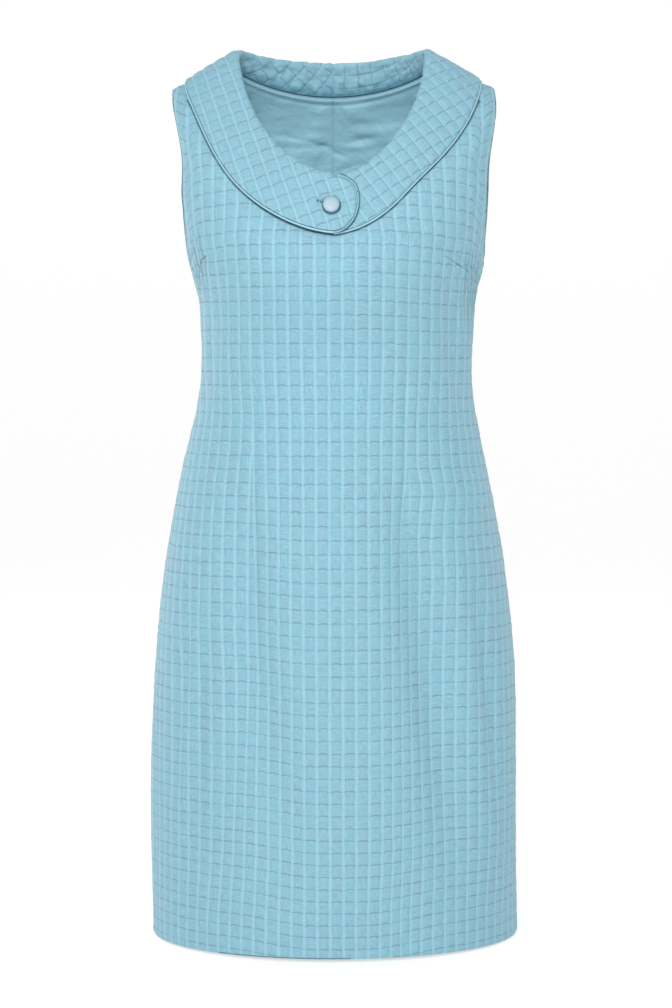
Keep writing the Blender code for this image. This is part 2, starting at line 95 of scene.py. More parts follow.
# The body's sections from hem to neck seam, as in the part's source.
SECTION_COLUMNS = (
    "side_x", "side_z", "front_y", "front_z", "back_y", "back_z", "front_power", "back_power", "dip", "point"
)
SECTIONS: dict[str, tuple[float, ...]] = {
    "hem": (0.1998, -0.961, 0.1360, -0.9590, 0.1230, -0.961, 1.00, 0.92, 1.6, 0.0),
    "low skirt": (0.2000, -0.865, 0.1355, -0.8660, 0.1240, -0.865, 0.98, 0.92, 1.6, 0.0),
    "skirt": (0.1996, -0.770, 0.1340, -0.7700, 0.1250, -0.770, 0.96, 0.90, 1.6, 0.0),
    "thigh": (0.1976, -0.705, 0.1320, -0.7050, 0.1270, -0.705, 0.94, 0.88, 1.6, 0.0),
    "low hip": (0.1934, -0.640, 0.1300, -0.6400, 0.1285, -0.640, 0.92, 0.86, 1.6, 0.0),
    "hip": (0.1880, -0.588, 0.1280, -0.5880, 0.1275, -0.588, 0.90, 0.85, 1.6, 0.0),
    "high hip": (0.1815, -0.542, 0.1250, -0.5420, 0.1220, -0.542, 0.90, 0.86, 1.6, 0.0),
    "belly": (0.1695, -0.477, 0.1185, -0.4770, 0.1080, -0.477, 0.92, 0.88, 1.6, 0.0),
    "low waist": (0.1562, -0.412, 0.1110, -0.4130, 0.0935, -0.412, 0.94, 0.90, 1.6, 0.0),
    "waist": (0.1480, -0.350, 0.1080, -0.3560, 0.0865, -0.352, 0.94, 0.90, 1.6, 0.0),
    "rib": (0.1500, -0.305, 0.1130, -0.3190, 0.0870, -0.312, 0.92, 0.88, 1.6, 0.0),
    "under bust": (0.1520, -0.270, 0.1230, -0.2880, 0.0910, -0.278, 0.88, 0.86, 1.6, 0.0),
    "underarm": (0.1575, -0.236, 0.1310, -0.2620, 0.0965, -0.246, 0.86, 0.84, 1.6, 0.0),
    "low armhole": (0.1650, -0.195, 0.1340, -0.2400, 0.1020, -0.214, 0.86, 0.84, 1.5, 0.0),
    "mid armhole": (0.1725, -0.140, 0.1320, -0.2200, 0.1055, -0.170, 0.88, 0.86, 1.5, 0.0),
    "high armhole": (0.1758, -0.085, 0.1265, -0.2020, 0.1030, -0.125, 0.92, 0.90, 1.4, 0.05),
    "shoulder tip": (0.1726, -0.037, 0.1200, -0.1860, 0.0960, -0.092, 0.96, 0.95, 1.3, 0.10),
    "shoulder": (0.1480, -0.0315, 0.1130, -0.1705, 0.0870, -0.068, 1.00, 1.00, 1.2, 0.14),
    "neck seam": (0.1085, -0.0205, 0.1050, -0.1520, 0.0750, -0.047, 1.00, 1.00, 1.12, 0.17),
}
# The line along the top of each collar half's roll, with the same columns. -1 is the viewer's left half.
ROLLS = {
    -1: (0.1048, -0.0008, 0.1100, -0.1475, 0.0680, -0.0115, 1.00, 1.00, 1.12, 0.17),
    1: (0.1020, -0.0008, 0.1100, -0.1470, 0.0680, -0.0115, 1.00, 1.00, 1.12, 0.17),
}
FALL_ANGLES = (0, 15, 30, 45, 60, 75, 90, 120, 150, 180)
FALL_WIDTHS = {
    -1: (0.0590, 0.0565, 0.0540, 0.0505, 0.0485, 0.0490, 0.0500, 0.0540, 0.0590, 0.0615),
    1: (0.0590, 0.0520, 0.0410, 0.0405, 0.0448, 0.0480, 0.0500, 0.0540, 0.0590, 0.0615),
}

# Soft troughs in the cloth: place round the figure in degrees from centre front, heights, width and depth.
TROUGH_COLUMNS = ("low_angle", "high_angle", "low_z", "high_z", "width", "depth")
TROUGH_FADE = 0.020
# How far the shoulder tips are lowered, and over which distances from the middle and which heights it sets in.
SHOULDER_DROP = 0.0042
SHOULDER_SPAN = (0.140, 0.174)
SHOULDER_HEIGHTS = (-0.085, -0.036)
TROUGHS = {
    "waist dart left": (-27.0, -35.5, -0.640, -0.290, 0.0045, 0.0014),
    "waist dart right": (24.0, 32.0, -0.600, -0.290, 0.0045, 0.0014),
    "bust dart left": (-82.0, -66.0, -0.240, -0.222, 0.010, 0.0014),
    "bust dart right": (76.0, 50.0, -0.250, -0.227, 0.010, 0.0022),
    "back dart left": (-155.0, -151.0, -0.560, -0.230, 0.006, 0.0014),
    "back dart right": (155.0, 151.0, -0.560, -0.230, 0.006, 0.0014),
    "side crease right": (66.0, 52.0, -0.400, -0.250, 0.018, 0.0048),
    "side crease left": (-70.0, -58.0, -0.390, -0.290, 0.016, 0.0018),
    "back waist crease left": (-118.0, -132.0, -0.390, -0.300, 0.016, 0.0026),
    "back waist crease right": (112.0, 130.0, -0.380, -0.310, 0.016, 0.0022),
    "side draw left": (-90.0, -90.0, -0.425, -0.225, 0.060, 0.0045),
    "high side draw left": (-90.0, -90.0, -0.330, -0.240, 0.060, 0.0032),
    "armhole left": (-75.0, -75.0, -0.140, -0.060, 0.050, 0.0042),
    "armhole right": (80.0, 80.0, -0.260, -0.110, 0.050, -0.0044),
    "low side left": (-90.0, -90.0, -0.960, -0.690, 0.060, -0.0022),
    "low side right": (90.0, 90.0, -0.960, -0.690, 0.060, 0.0030),
    "skirt fold left": (-13.5, -41.0, -0.900, -0.420, 0.023, 0.0110),
    "side fold left": (-49.0, -45.0, -0.880, -0.560, 0.013, 0.0052),
    "skirt fold right": (41.0, 26.5, -0.900, -0.430, 0.028, 0.0162),
    "side fold right": (60.0, 54.0, -0.800, -0.560, 0.014, 0.0056),
    "back skirt fold left": (-160.0, -146.0, -0.900, -0.520, 0.022, 0.0046),
    "back skirt ridge left": (-146.0, -138.0, -0.840, -0.540, 0.018, -0.0030),
    "back skirt fold right": (150.0, 158.0, -0.880, -0.470, 0.020, 0.0048),
    "back skirt ridge right": (136.0, 144.0, -0.820, -0.500, 0.018, -0.0028),
    "back side fold right": (122.0, 126.0, -0.800, -0.600, 0.013, 0.0030),
}
# Creases of the back lining below the neck: x, z, reach along, width, tilt and depth outwards.
CREASES = {
    "middle": (-0.0100, -0.0980, 0.0110, 0.0032, -0.25, 0.0022),
    "right of middle": (0.0040, -0.1060, 0.0090, 0.0030, -0.35, 0.0020),
    "right": (0.0330, -0.0900, 0.0140, 0.0042, 0.20, 0.0022),
    "left": (-0.0480, -0.0880, 0.0260, 0.0036, -0.20, 0.0018),
    "low": (0.0180, -0.1220, 0.0200, 0.0040, 0.30, 0.0018),
}

# Sewn lines that show on the front, as x and z of both ends.
SEWN_LINES = {
    "bust dart right": ((0.1150, -0.2285), (0.1345, -0.2400)),
    "bust dart right, outer": ((0.1370, -0.2400), (0.1490, -0.2540)),
    "bust dart left": ((-0.1330, -0.2270), (-0.1400, -0.2330)),
    "under the dart left": ((-0.1400, -0.2330), (-0.1390, -0.2450)),
}
# What the line layer holds on a line, and how far the painted shadow lines lie inside the armholes and below the
# collar's edge.
ON_LINE = 0.5
ARMHOLE_SHADOW_LINE = 0.0050
COLLAR_SHADOW_LINE = 2 * PIPING_RADIUS + 0.0009
# The x between which a painted shadow line runs along the hem's lower edge, and that line's height.
HEM_SHADOW_LINE = (-0.125, 0.017)
HEM_SHADOW_LINE_UP = 0.0004
# How the distance from a line is stretched, which makes the line thinner (above 1) or wider (below 1). Up the tab's
# end the collar's painted shadow line grows twice as thin between two heights.
ARMHOLE_THIN = 0.45
COLLAR_THIN = 0.8
TAB_THIN_HEIGHTS = (-0.190, -0.165)
SEAM_THIN = 0.75
# What is added to the distance from a dart's line, which makes it fainter, and the distance where there is no line.
SEAM_FAINT = 0.0003
FAR_OFF = 1.0
# Where fine upright pleats gather under the arms: x, z, and how far they reach both ways.
PLEATS = {"right": (0.1450, -0.2640, 0.0130, 0.0500), "left": (-0.1420, -0.2350, 0.0120, 0.0460)}

# How many cells of the weave each dart takes in, from low to high. The cloth beyond a dart's seam is moved by it.
DARTS = {
    "front left": (
        -0.0850,
        ((-0.690, 0.0), (-0.600, 0.24), (-0.520, 0.42), (-0.470, 0.62), (-0.428, 0.92), (-0.390, 1.05)),
    ),
    "front right": (0.0775, ((-0.560, 0.0), (-0.475, 0.46), (-0.445, 1.05))),
    "back": (0.0700, ((-0.580, 0.0), (-0.520, 0.22), (-0.470, 0.40), (-0.428, 0.77), (-0.395, 1.0))),
}
# Where soft folds of the front take up cloth: from one x to another, between heights, in cells.
DRIFT_COLUMNS = ("from_x", "to_x", "low_z", "high_z", "cells")
DRIFTS = {
    "skirt fold left": (-0.015, -0.085, -0.940, -0.600, 0.24),
    "skirt fold right": (0.046, 0.092, -1.100, -0.445, 0.70),
    "hem right": (0.005, 0.060, -1.150, -0.840, 0.25),
}
# Where the rows of the weave lie higher towards a side: from one x to another, and by how much at each height.
RISES = {
    "left": (-0.020, -0.110, ((-0.850, 0.0100), (-0.760, 0.0080), (-0.580, 0.0052), (-0.510, 0.0030), (-0.450, 0.0))),
    "right": (
        0.030,
        0.125,
        ((-0.890, 0.0100), (-0.780, 0.0040), (-0.600, 0.0022), (-0.500, 0.0), (-0.360, 0.0), (-0.290, -0.0042)),
    ),
}
# The rows draw closer below this height, by ROWS_CLOSER * (how far below)^ROWS_POWER.
ROWS_CLOSER_BELOW = -0.560
ROWS_CLOSER = 0.182
ROWS_POWER = 1.6


class Half(Enum):
    """A side of the dress as one looks at its front."""

    LEFT = -1
    RIGHT = 1


class Slot(Enum):
    """The record's material slots."""

    CLOTH = "blister_cloth"
    TRIM = "satin_trim"
    LINING = "satin_lining"


def unit(vectors: Array) -> Array:
    """Vectors scaled to length 1."""
    return vectors / np.maximum(np.linalg.norm(vectors, axis=-1, keepdims=True), 1e-12)


def lengths_along(line: Array, axis: int = 0) -> Array:
    """Distance of each point of a line from its first point, along one axis of the array.

    Args:
        line: Points, with their coordinates last.
        axis: The array axis that the line runs along.

    Returns:
        Distances, with the coordinates' axis gone.
    """
    steps = np.linalg.norm(np.diff(line, axis=axis), axis=-1)
    start = np.zeros_like(np.take(steps, [0], axis=axis))
    return np.concatenate([start, np.cumsum(steps, axis=axis)], axis=axis)


def smooth_through(known_at: Array, values: Array, wanted_at: Array) -> Array:
    """Natural cubic spline through rows of values, read at each wanted place.

    Args:
        known_at: Where each row lies, rising.
        values: One row per known place.
        wanted_at: Where to read the spline.

    Returns:
        One row per wanted place.
    """
    step = np.diff(known_at)
    count = len(known_at)
    system = np.eye(count)
    right = np.zeros_like(values)
    inner = np.arange(1, count - 1)
    system[inner, inner - 1] = step[:-1]
    system[inner, inner] = 2 * (step[:-1] + step[1:])
    system[inner, inner + 1] = step[1:]
    slope = np.diff(values, axis=0) / step[:, None]
    right[1:-1] = 6 * np.diff(slope, axis=0)
    bend = np.linalg.solve(system, right)
    index = np.clip(np.searchsorted(known_at, wanted_at, side="right") - 1, 0, count - 2)
    width = step[index][:, None]
    high = (wanted_at - known_at[index])[:, None] / width
    low = 1 - high
    curve = (low**3 - low) * bend[index] + (high**3 - high) * bend[index + 1]
    return low * values[index] + high * values[index + 1] + curve * width**2 / 6


def smooth_step(value: Array, low: float, high: float) -> Array:
    """0 below low, 1 above high and 3t^2 - 2t^3 between them."""
    part = np.clip((value - low) / (high - low), 0, 1)
    return part * part * (3 - 2 * part)


def soft_noise(places: Array, pitch: float, seed: int) -> Array:
    """A smooth uneven number from -1 to 1: the mean of eight sine waves with seeded directions and phases.

    Args:
        places: Coordinates, last axis of any length.
        pitch: About how far apart its bumps lie, in metres.
        seed: Picks the directions and phases.

    Returns:
        One number per place.
    """
    draw = np.random.default_rng(seed)
    waves = draw.normal(size=(8, places.shape[-1]))
    waves *= (2 * math.pi / pitch * draw.uniform(0.6, 1.3, 8) / np.linalg.norm(waves, axis=1))[:, None]
    phase = draw.uniform(0, 2 * math.pi, 8)
    return np.sin(places @ waves.T + phase).sum(axis=-1) / math.sqrt(16)


def nearest(distances: Sequence[Array]) -> Array:
    """Of several signed distances, the one nearest to zero at each point."""
    stack = np.stack(np.broadcast_arrays(*distances))
    return np.take_along_axis(stack, np.argmin(np.abs(stack), axis=0)[None], axis=0)[0]


def add_layer(piece: bpy.types.Object, name: str, values: Array, pitch: tuple[int, int] = (1, 1)) -> None:
    """Stores a number at each point of a sheet's outer grid, and the same at the inner points under it."""
    both = np.concatenate([values.ravel(), values[:: pitch[0], :: pitch[1]].ravel()])
    layer = piece.data.attributes.new(name, "FLOAT", "POINT")
    layer.data.foreach_set("value", both.astype(np.float32))


@dataclass(frozen=True)
class BodyForm:
    """The surface that the panels are cut from: a loft of closed rings through the named sections.

    At an angle a from centre front, with f and b the soft front and back shares of its cosine, a ring's point is
    x = side_x * sin(a)^(1 + point * f), y = back_y * b^back_power - front_y * f^front_power and
    z = side_z + (front_z - side_z) * f^dip + (back_z - side_z) * b^BACK_DIP.
    """

    sections: dict[str, tuple[float, ...]] = field(default_factory=lambda: SECTIONS)

    @property
    def table(self) -> Array:
        """The sections as rows of numbers."""
        return np.array(list(self.sections.values()))

    @property
    def stations(self) -> Array:
        """How far up the body each section lies: the mean of its side and front distances."""
        column = dict(zip(SECTION_COLUMNS, self.table.T))
        side = np.hypot(np.diff(column["side_x"]), np.diff(column["side_z"]))
        front = np.hypot(np.diff(column["front_y"]), np.diff(column["front_z"]))
        return np.concatenate([[0.0], np.cumsum((side + front) / 2)])

    def station_of(self, name: str) -> float:
        """How far up the body a named section lies."""
        return float(self.stations[list(self.sections).index(name)])

    @staticmethod
    def ring(angle: Array, row: Sequence[Array]) -> Array:
        """Points of a ring at these angles; row holds the section's columns, as arrays or numbers."""
        side_x, side_z, front_y, front_z, back_y, back_z, front_power, back_power, dip, point = row
        cosine, sine = np.cos(angle), np.sin(angle)
        soft = np.sqrt(cosine**2 + SEAM_SOFTNESS**2)
        full = (1 + math.sqrt(1 + SEAM_SOFTNESS**2)) / 2
        forward = (cosine + soft) / 2 / full
        backward = (soft - cosine) / 2 / full
        x = side_x * np.sign(sine) * np.abs(sine) ** (1 + point * forward)
        y = back_y * backward**back_power - front_y * forward**front_power
        z = side_z + (front_z - side_z) * forward**dip + (back_z - side_z) * backward**BACK_DIP
        return np.stack(np.broadcast_arrays(x, y, z), axis=-1)

    @staticmethod
    def with_troughs(points: Array, angle: Array) -> Array:
        """Points drawn in towards the middle line by a Gaussian dip across each trough, and down at the shoulders."""
        depth = np.zeros(points.shape[:-1])
        radius = np.hypot(points[..., 0], points[..., 1])
        for row in TROUGHS.values():
            trough = dict(zip(TROUGH_COLUMNS, row))
            climb = (points[..., 2] - trough["low_z"]) / (trough["high_z"] - trough["low_z"])
            middle = trough["low_angle"] + (trough["high_angle"] - trough["low_angle"]) * climb
            away = (angle - np.radians(middle)) * radius / trough["width"]
            low, high = trough["low_z"] - TROUGH_FADE, trough["high_z"] + TROUGH_FADE
            along = np.sin(math.pi * np.clip((points[..., 2] - low) / (high - low), 0, 1))
            depth += trough["depth"] * np.exp(-(away**2)) * along
        shrink = 1 - depth / np.maximum(radius, 1e-6)
        moved = points * np.stack([shrink, shrink, np.ones_like(shrink)], axis=-1)
        tip = smooth_step(np.abs(points[..., 0]), *SHOULDER_SPAN) * smooth_step(points[..., 2], *SHOULDER_HEIGHTS)
        moved[..., 2] -= SHOULDER_DROP * tip
        return moved

    def points(self, angle: Array, station: Array) -> Array:
        """Points of the outer surface at matching angles and stations."""
        angle, station = np.broadcast_arrays(np.asarray(angle, float), np.asarray(station, float))
        levels, index = np.unique(station, return_inverse=True)
        rows = smooth_through(self.stations, self.table, levels)[index.reshape(station.shape)]
        return self.with_troughs(self.ring(angle, [rows[..., place] for place in range(rows.shape[-1])]), angle)

    def normals(self, angle: Array, station: Array) -> Array:
        """Unit vectors out of the surface, from small steps round it and up it."""
        round_step, up_step = 1e-3, 5e-4
        below = np.maximum(station - up_step, 0)
        above = np.minimum(station + up_step, self.stations[-1])
        round_it = self.points(angle + round_step, station) - self.points(angle - round_step, station)
        return unit(np.cross(round_it, self.points(angle, above) - self.points(angle, below)))


BODY = BodyForm()


@dataclass(frozen=True)
class Blister:
    """The weave's repeat: padded squares between light upright bands, parted by fine bowed grooves.

    u runs across the cloth and v up it, in metres of cloth. Across a cell, s goes from -1 to 1 between the bands;
    up it, t goes from 0 at its lower groove to 1 at its upper one. Its height is
    puff * (1 - |s|^4) * sqrt(1 - |2t - 1|^4), and each groove is bowed up by bow in the middle of its cell.
    """

    cell_width: float = 0.0137
    cell_height: float = 0.01457
    band: float = 0.0034
    bow: float = 0.0009
    puff: float = 0.0007
    first_band: float = -0.0053
    first_groove: float = -0.3338
    wander: float = 0.0005
    wander_pitch: tuple[float, float] = (0.021, 0.024)
    uneven: float = 0.35
    uneven_pitch: float = 0.030
    seed: int = 7

    def height(self, u: Array, v: Array) -> Array:
        """How far the cloth's face stands out at (u, v)."""
        place = np.stack([u, v], axis=-1)
        u = u + self.wander * soft_noise(place, self.wander_pitch[0], self.seed)
        v = v + self.wander * soft_noise(place, self.wander_pitch[1], self.seed + 1)
        across = np.mod((u - self.first_band) / self.cell_width, 1.0)
        share = self.band / self.cell_width
        s = (across - 0.5) / (0.5 - share / 2)
        bowed = v - self.bow * (1 - np.clip(np.abs(s), 0, 1) ** 2)
        t = np.mod((bowed - self.first_groove) / self.cell_height, 1.0)
        rise = np.clip(1 - np.abs(s) ** 4, 0, 1) * np.sqrt(np.clip(1 - np.abs(2 * t - 1) ** 4, 0, 1))
        return self.puff * rise * (1 + self.uneven * soft_noise(place, self.uneven_pitch, self.seed + 2))


WEAVE = Blister()
COLLAR_WEAVE = Blister(band=0.0023, puff=0.0009)


@dataclass(frozen=True)
class Dart:
    """A dart's seam along an upright line, and the cloth that it takes in at each height."""

    x: float
    intake: tuple[tuple[float, float], ...]

    def shift(self, z: Array) -> Array:
        """How far the cloth beyond the seam is moved outwards, in metres of cloth, signed like x."""
        heights, cells = zip(*self.intake)
        return math.copysign(WEAVE.cell_width, self.x) * np.interp(z, heights, cells)


@dataclass(frozen=True)
class GrainMap:
    """Where each point of a front or back panel lies on the flat cloth, with the grain upright at its middle.

    Up to the bust, v is the height and u the distance round the level curve from the panel's middle. Above it, v
    goes on as the length of upright lines, and u is measured from the upright line x = steady_x, because the neck
    cuts the middle away. The bodice is eased a little, and soft folds take up some cells.
    """

    front: bool
    steady_x: float = 0.125
    bust_z: float = -0.262
    free_middle_z: float = -0.212
    ease: float = 0.04
    ease_low: float = -0.410
    ease_high: float = -0.330
    level_step: float = 0.003
    steepest_step: float = 0.006
    drift_fade: float = 0.09
    widest_x: float = 0.205

    def tables(self) -> tuple[Array, Array, Array, Array]:
        """Levels, and at each level the x, u and v of a run of points from the middle to the side seam."""
        rounds, levels = np.linspace(0, math.pi / 2, 121), np.arange(LOWEST, HIGHEST, self.level_step)
        angle = rounds if self.front else math.pi - rounds
        stations = np.linspace(0, BODY.stations[-1], 500)
        surface = BODY.points(angle[None, :], stations[:, None])
        run = np.stack(
            [
                np.stack([np.interp(levels, surface[:, m, 2], surface[:, m, axis]) for axis in range(3)], axis=-1)
                for m in range(len(rounds))
            ],
            axis=1,
        )
        u = lengths_along(run, axis=1)
        x = np.maximum.accumulate(run[..., 0], axis=1)
        steady = np.array([np.interp(self.steady_x, line, far) for line, far in zip(x, u)])
        free = np.searchsorted(levels, self.free_middle_z)
        u[free:] += (steady[free] - steady[free:])[:, None]
        v = np.repeat(levels[:, None], len(rounds), axis=1)
        for level in range(np.searchsorted(levels, self.bust_z), len(levels)):
            under_y = np.interp(x[level], x[level - 1], run[level - 1, :, 1])
            under_v = np.interp(x[level], x[level - 1], v[level - 1])
            step = np.minimum(np.abs(run[level, :, 1] - under_y), self.steepest_step)
            v[level] = under_v + np.hypot(step, levels[level] - levels[level - 1])
        return levels, x, u, v

    def cloth_place(self, points: Array) -> tuple[Array, Array]:
        """u and v of points on the panel, by interpolation in the tables, before the darts are taken in.

        Args:
            points: A grid of points; u is negative where x is.

        Returns:
            u and v, in metres of cloth.
        """
        levels, x, u, v = self.tables()
        fine_x = np.linspace(0, self.widest_x, 411)
        by_x = np.array([np.interp(fine_x, line, value) for line, value in zip(x, u)])
        climb = np.array([np.interp(fine_x, line, value) for line, value in zip(x, v)])
        row = np.clip((points[..., 2] - levels[0]) / (levels[1] - levels[0]), 0, len(levels) - 1.001)
        column = np.clip(np.abs(points[..., 0]) / fine_x[1], 0, len(fine_x) - 1.001)
        r, c = row.astype(int), column.astype(int)
        fr, fc = row - r, column - c

        def read(table: Array) -> Array:
            """The table at each point, linear both ways."""
            low = table[r, c] * (1 - fc) + table[r, c + 1] * fc
            high = table[r + 1, c] * (1 - fc) + table[r + 1, c + 1] * fc
            return low * (1 - fr) + high * fr

        px, z = points[..., 0], points[..., 2]
        high = read(climb) - ROWS_CLOSER * np.clip(ROWS_CLOSER_BELOW - z, 0, None) ** ROWS_POWER
        for from_x, to_x, rises in RISES.values():
            way = math.copysign(1.0, to_x)
            high = high - smooth_step(way * px, abs(from_x), abs(to_x)) * np.interp(z, *zip(*rises))
        far = np.sign(px) * read(by_x) * (1 - self.ease * smooth_step(z, self.ease_low, self.ease_high))
        if self.front:
            for drift in (dict(zip(DRIFT_COLUMNS, row)) for row in DRIFTS.values()):
                middle, half = (drift["low_z"] + drift["high_z"]) / 2, (drift["high_z"] - drift["low_z"]) / 2
                fade = smooth_step(-np.abs(z - middle), -half, -half + self.drift_fade)
                way = math.copysign(1.0, drift["to_x"])
                share = smooth_step(way * px, way * drift["from_x"], way * drift["to_x"])
                far = far + way * WEAVE.cell_width * drift["cells"] * share * fade
        return far, high


def rim_faces(index: Array, coarse: Array, pitch: tuple[int, int]) -> list[list[int]]:
    """Faces that join the border of a fine outer grid to the border of a coarse inner one.

    Args:
        index: Vertex numbers of the outer grid.
        coarse: Vertex numbers of the inner grid, whose points lie under each pitch-th outer point.
        pitch: Outer steps to one inner step, along the rows and across them.

    Returns:
        One face for each inner step, with the outer points between its ends.
    """
    down, over = pitch
    sides = (
        (index[0], coarse[0], over),
        (index[:, -1], coarse[:, -1], down),
        (index[-1, ::-1], coarse[-1, ::-1], over),
        (index[::-1, 0], coarse[::-1, 0], down),
    )
    faces = []
    for fine, rough, step in sides:
        count = len(rough) - 1
        starts = [fine[start::step][:count] for start in range(step)]
        outer = np.stack([*starts, fine[step::step][:count]], axis=1)
        faces += np.concatenate([outer[:, ::-1], rough[:-1, None], rough[1:, None]], axis=1).tolist()
    return faces


# The angles from which an edge of a sheet or of a carried profile is shown sharp.
SHARP_FROM = math.radians(55)
PROFILE_SHARP_FROM = math.radians(60)


def cloth_mesh(
    name: str,
    outer: Array,
    inner: Array,
    u: Array,
    v: Array,
    pitch: tuple[int, int] = (1, 1),
    shift: Array | None = None,
) -> bpy.types.Object:
    """A closed sheet of cloth: a fine outer grid, a coarser inner one and the rim between them.

    Args:
        name: The piece's name.
        outer: Points of the outer face, rows from hem to neck, with the face's outside on the right-hand side.
        inner: Points of the inner face under each pitch-th outer point.
        u: Place across the cloth of each outer point, for the UV map.
        v: Place up the cloth of each outer point.
        pitch: Outer steps to one inner step, along the rows and across them.
        shift: What each column of outer faces adds to u at each row, so that the pattern breaks at a dart's seam.

    Returns:
        The new object.
    """
    rows, columns = outer.shape[:2]
    index = np.arange(rows * columns).reshape(rows, columns)
    coarse = rows * columns + np.arange(inner.shape[0] * inner.shape[1]).reshape(inner.shape[:2])
    face = np.stack([index[:-1, :-1], index[:-1, 1:], index[1:, 1:], index[1:, :-1]], axis=-1).reshape(-1, 4)
    back = np.stack([coarse[:-1, :-1], coarse[1:, :-1], coarse[1:, 1:], coarse[:-1, 1:]], axis=-1).reshape(-1, 4)
    faces = face.tolist() + back.tolist() + rim_faces(index, coarse, pitch)
    points = np.concatenate([outer.reshape(-1, 3), inner.reshape(-1, 3)])
    mesh = bpy.data.meshes.new(name)
    mesh.from_pydata(points.tolist(), [], faces)
    place = np.stack([u, v], axis=-1)
    under = place[:: pitch[0], :: pitch[1]]
    cloth = np.concatenate([place.reshape(-1, 2), under.reshape(-1, 2)])
    corner = np.empty(len(mesh.loops), np.int32)
    mesh.loops.foreach_get("vertex_index", corner)
    laid = cloth[corner].astype(np.float32)
    if shift is not None:
        step = np.stack([shift[:-1], shift[:-1], shift[1:], shift[1:]], axis=-1)
        laid[: step.size, 0] += step.ravel()
    layer = mesh.uv_layers.new(name="cloth")
    layer.data.foreach_set("uv", laid.ravel())
    mesh.shade_smooth()
    mesh.set_sharp_from_angle(angle=SHARP_FROM)
    mesh.validate()
    piece = bpy.data.objects.new(name, mesh)
    bpy.context.scene.collection.objects.link(piece)
    return piece


class Graph:
    """A material's node tree, with short ways to add the nodes that the finishes here need."""

    def __init__(self, name: str) -> None:
        """Makes a material with a Principled shader and its output."""
        self.material = bpy.data.materials.new(name)
        self.material.use_nodes = True
        self.tree = self.material.node_tree
        self.shader = self.tree.nodes["Principled BSDF"]

    def node(self, kind: str, **settings: object) -> bpy.types.Node:
        """A new node of a kind, with its settings."""
        made = self.tree.nodes.new(kind)
        for key, value in settings.items():
            setattr(made, key, value)
        return made

    def feed(self, socket: bpy.types.NodeSocket, value: object) -> None:
        """Links a socket to a value, or sets it where the value is a number or a colour."""
        if isinstance(value, bpy.types.NodeSocket):
            self.tree.links.new(value, socket)
        else:
            socket.default_value = value

    def math(self, operation: str, *values: object) -> bpy.types.NodeSocket:
        """A Math node's result for one to three values."""
        made = self.node("ShaderNodeMath", operation=operation)
        for socket, value in zip(made.inputs, values):
            self.feed(socket, value)
        return made.outputs[0]

    def smooth(self, value: object, low: float, high: float) -> bpy.types.NodeSocket:
        """0 at low, 1 at high and smooth between them; low may be the larger."""
        made = self.node("ShaderNodeMapRange", interpolation_type="SMOOTHSTEP")
        turned = low > high
        self.feed(made.inputs["Value"], value)
        made.inputs["From Min"].default_value = high if turned else low
        made.inputs["From Max"].default_value = low if turned else high
        made.inputs["To Min"].default_value = 1.0 if turned else 0.0
        made.inputs["To Max"].default_value = 0.0 if turned else 1.0
        return made.outputs["Result"]

    def mix(self, share: object, low: object, high: object) -> bpy.types.NodeSocket:
        """A colour between low and high."""
        made = self.node("ShaderNodeMix", data_type="RGBA")
        self.feed(made.inputs[0], share)
        self.feed(made.inputs[6], low)
        self.feed(made.inputs[7], high)
        return made.outputs[2]

    def uv(self) -> tuple[bpy.types.NodeSocket, bpy.types.NodeSocket, bpy.types.NodeSocket]:
        """The cloth's UV map, as a vector and as u and v."""
        source = self.node("ShaderNodeUVMap", uv_map="cloth")
        parts = self.node("ShaderNodeSeparateXYZ")
        self.feed(parts.inputs[0], source.outputs[0])
        return source.outputs[0], parts.outputs[0], parts.outputs[1]

    def stretched(self, vector: object, across: float, up: float) -> bpy.types.NodeSocket:
        """The UV vector scaled by these, so a noise read there runs across or up the cloth."""
        made = self.node("ShaderNodeMapping")
        self.feed(made.inputs["Vector"], vector)
        made.inputs["Scale"].default_value = (across, up, 1.0)
        return made.outputs[0]

    def swayed(self, value: object, vector: object, scale: float, reach: float) -> bpy.types.NodeSocket:
        """A coordinate moved by up to half of reach, in metres, by a noise."""
        sway = self.math("SUBTRACT", self.noise(vector, scale), 0.5)
        return self.math("ADD", value, self.math("MULTIPLY", sway, reach))

    def noise(self, vector: object, scale: float, detail: float = 2.0) -> bpy.types.NodeSocket:
        """A noise texture's factor."""
        made = self.node("ShaderNodeTexNoise")
        self.feed(made.inputs["Vector"], vector)
        made.inputs["Scale"].default_value = scale
        made.inputs["Detail"].default_value = detail
        return made.outputs["Fac"]

    def layer(self, name: str) -> bpy.types.NodeSocket:
        """A number stored at the mesh's points, or 0 where the mesh has none of that name."""
        return self.node("ShaderNodeAttribute", attribute_name=name).outputs["Fac"]

    def on_line(self, reach: float) -> bpy.types.NodeSocket:
        """1 on a sewn line or a painted shadow line and 0 from reach away, by the mesh's line layer."""
        away = self.math("ABSOLUTE", self.math("SUBTRACT", self.layer("line"), ON_LINE))
        return self.smooth(away, reach, 0.3 * reach)

    def bump(self, height: object, depth: float, strength: float = 1.0) -> None:
        """Bumps the shader's normal by a height from 0 to 1, depth metres high."""
        made = self.node("ShaderNodeBump")
        made.inputs["Distance"].default_value = depth
        made.inputs["Strength"].default_value = strength
        self.feed(made.inputs["Height"], height)
        self.feed(self.shader.inputs["Normal"], made.outputs[0])


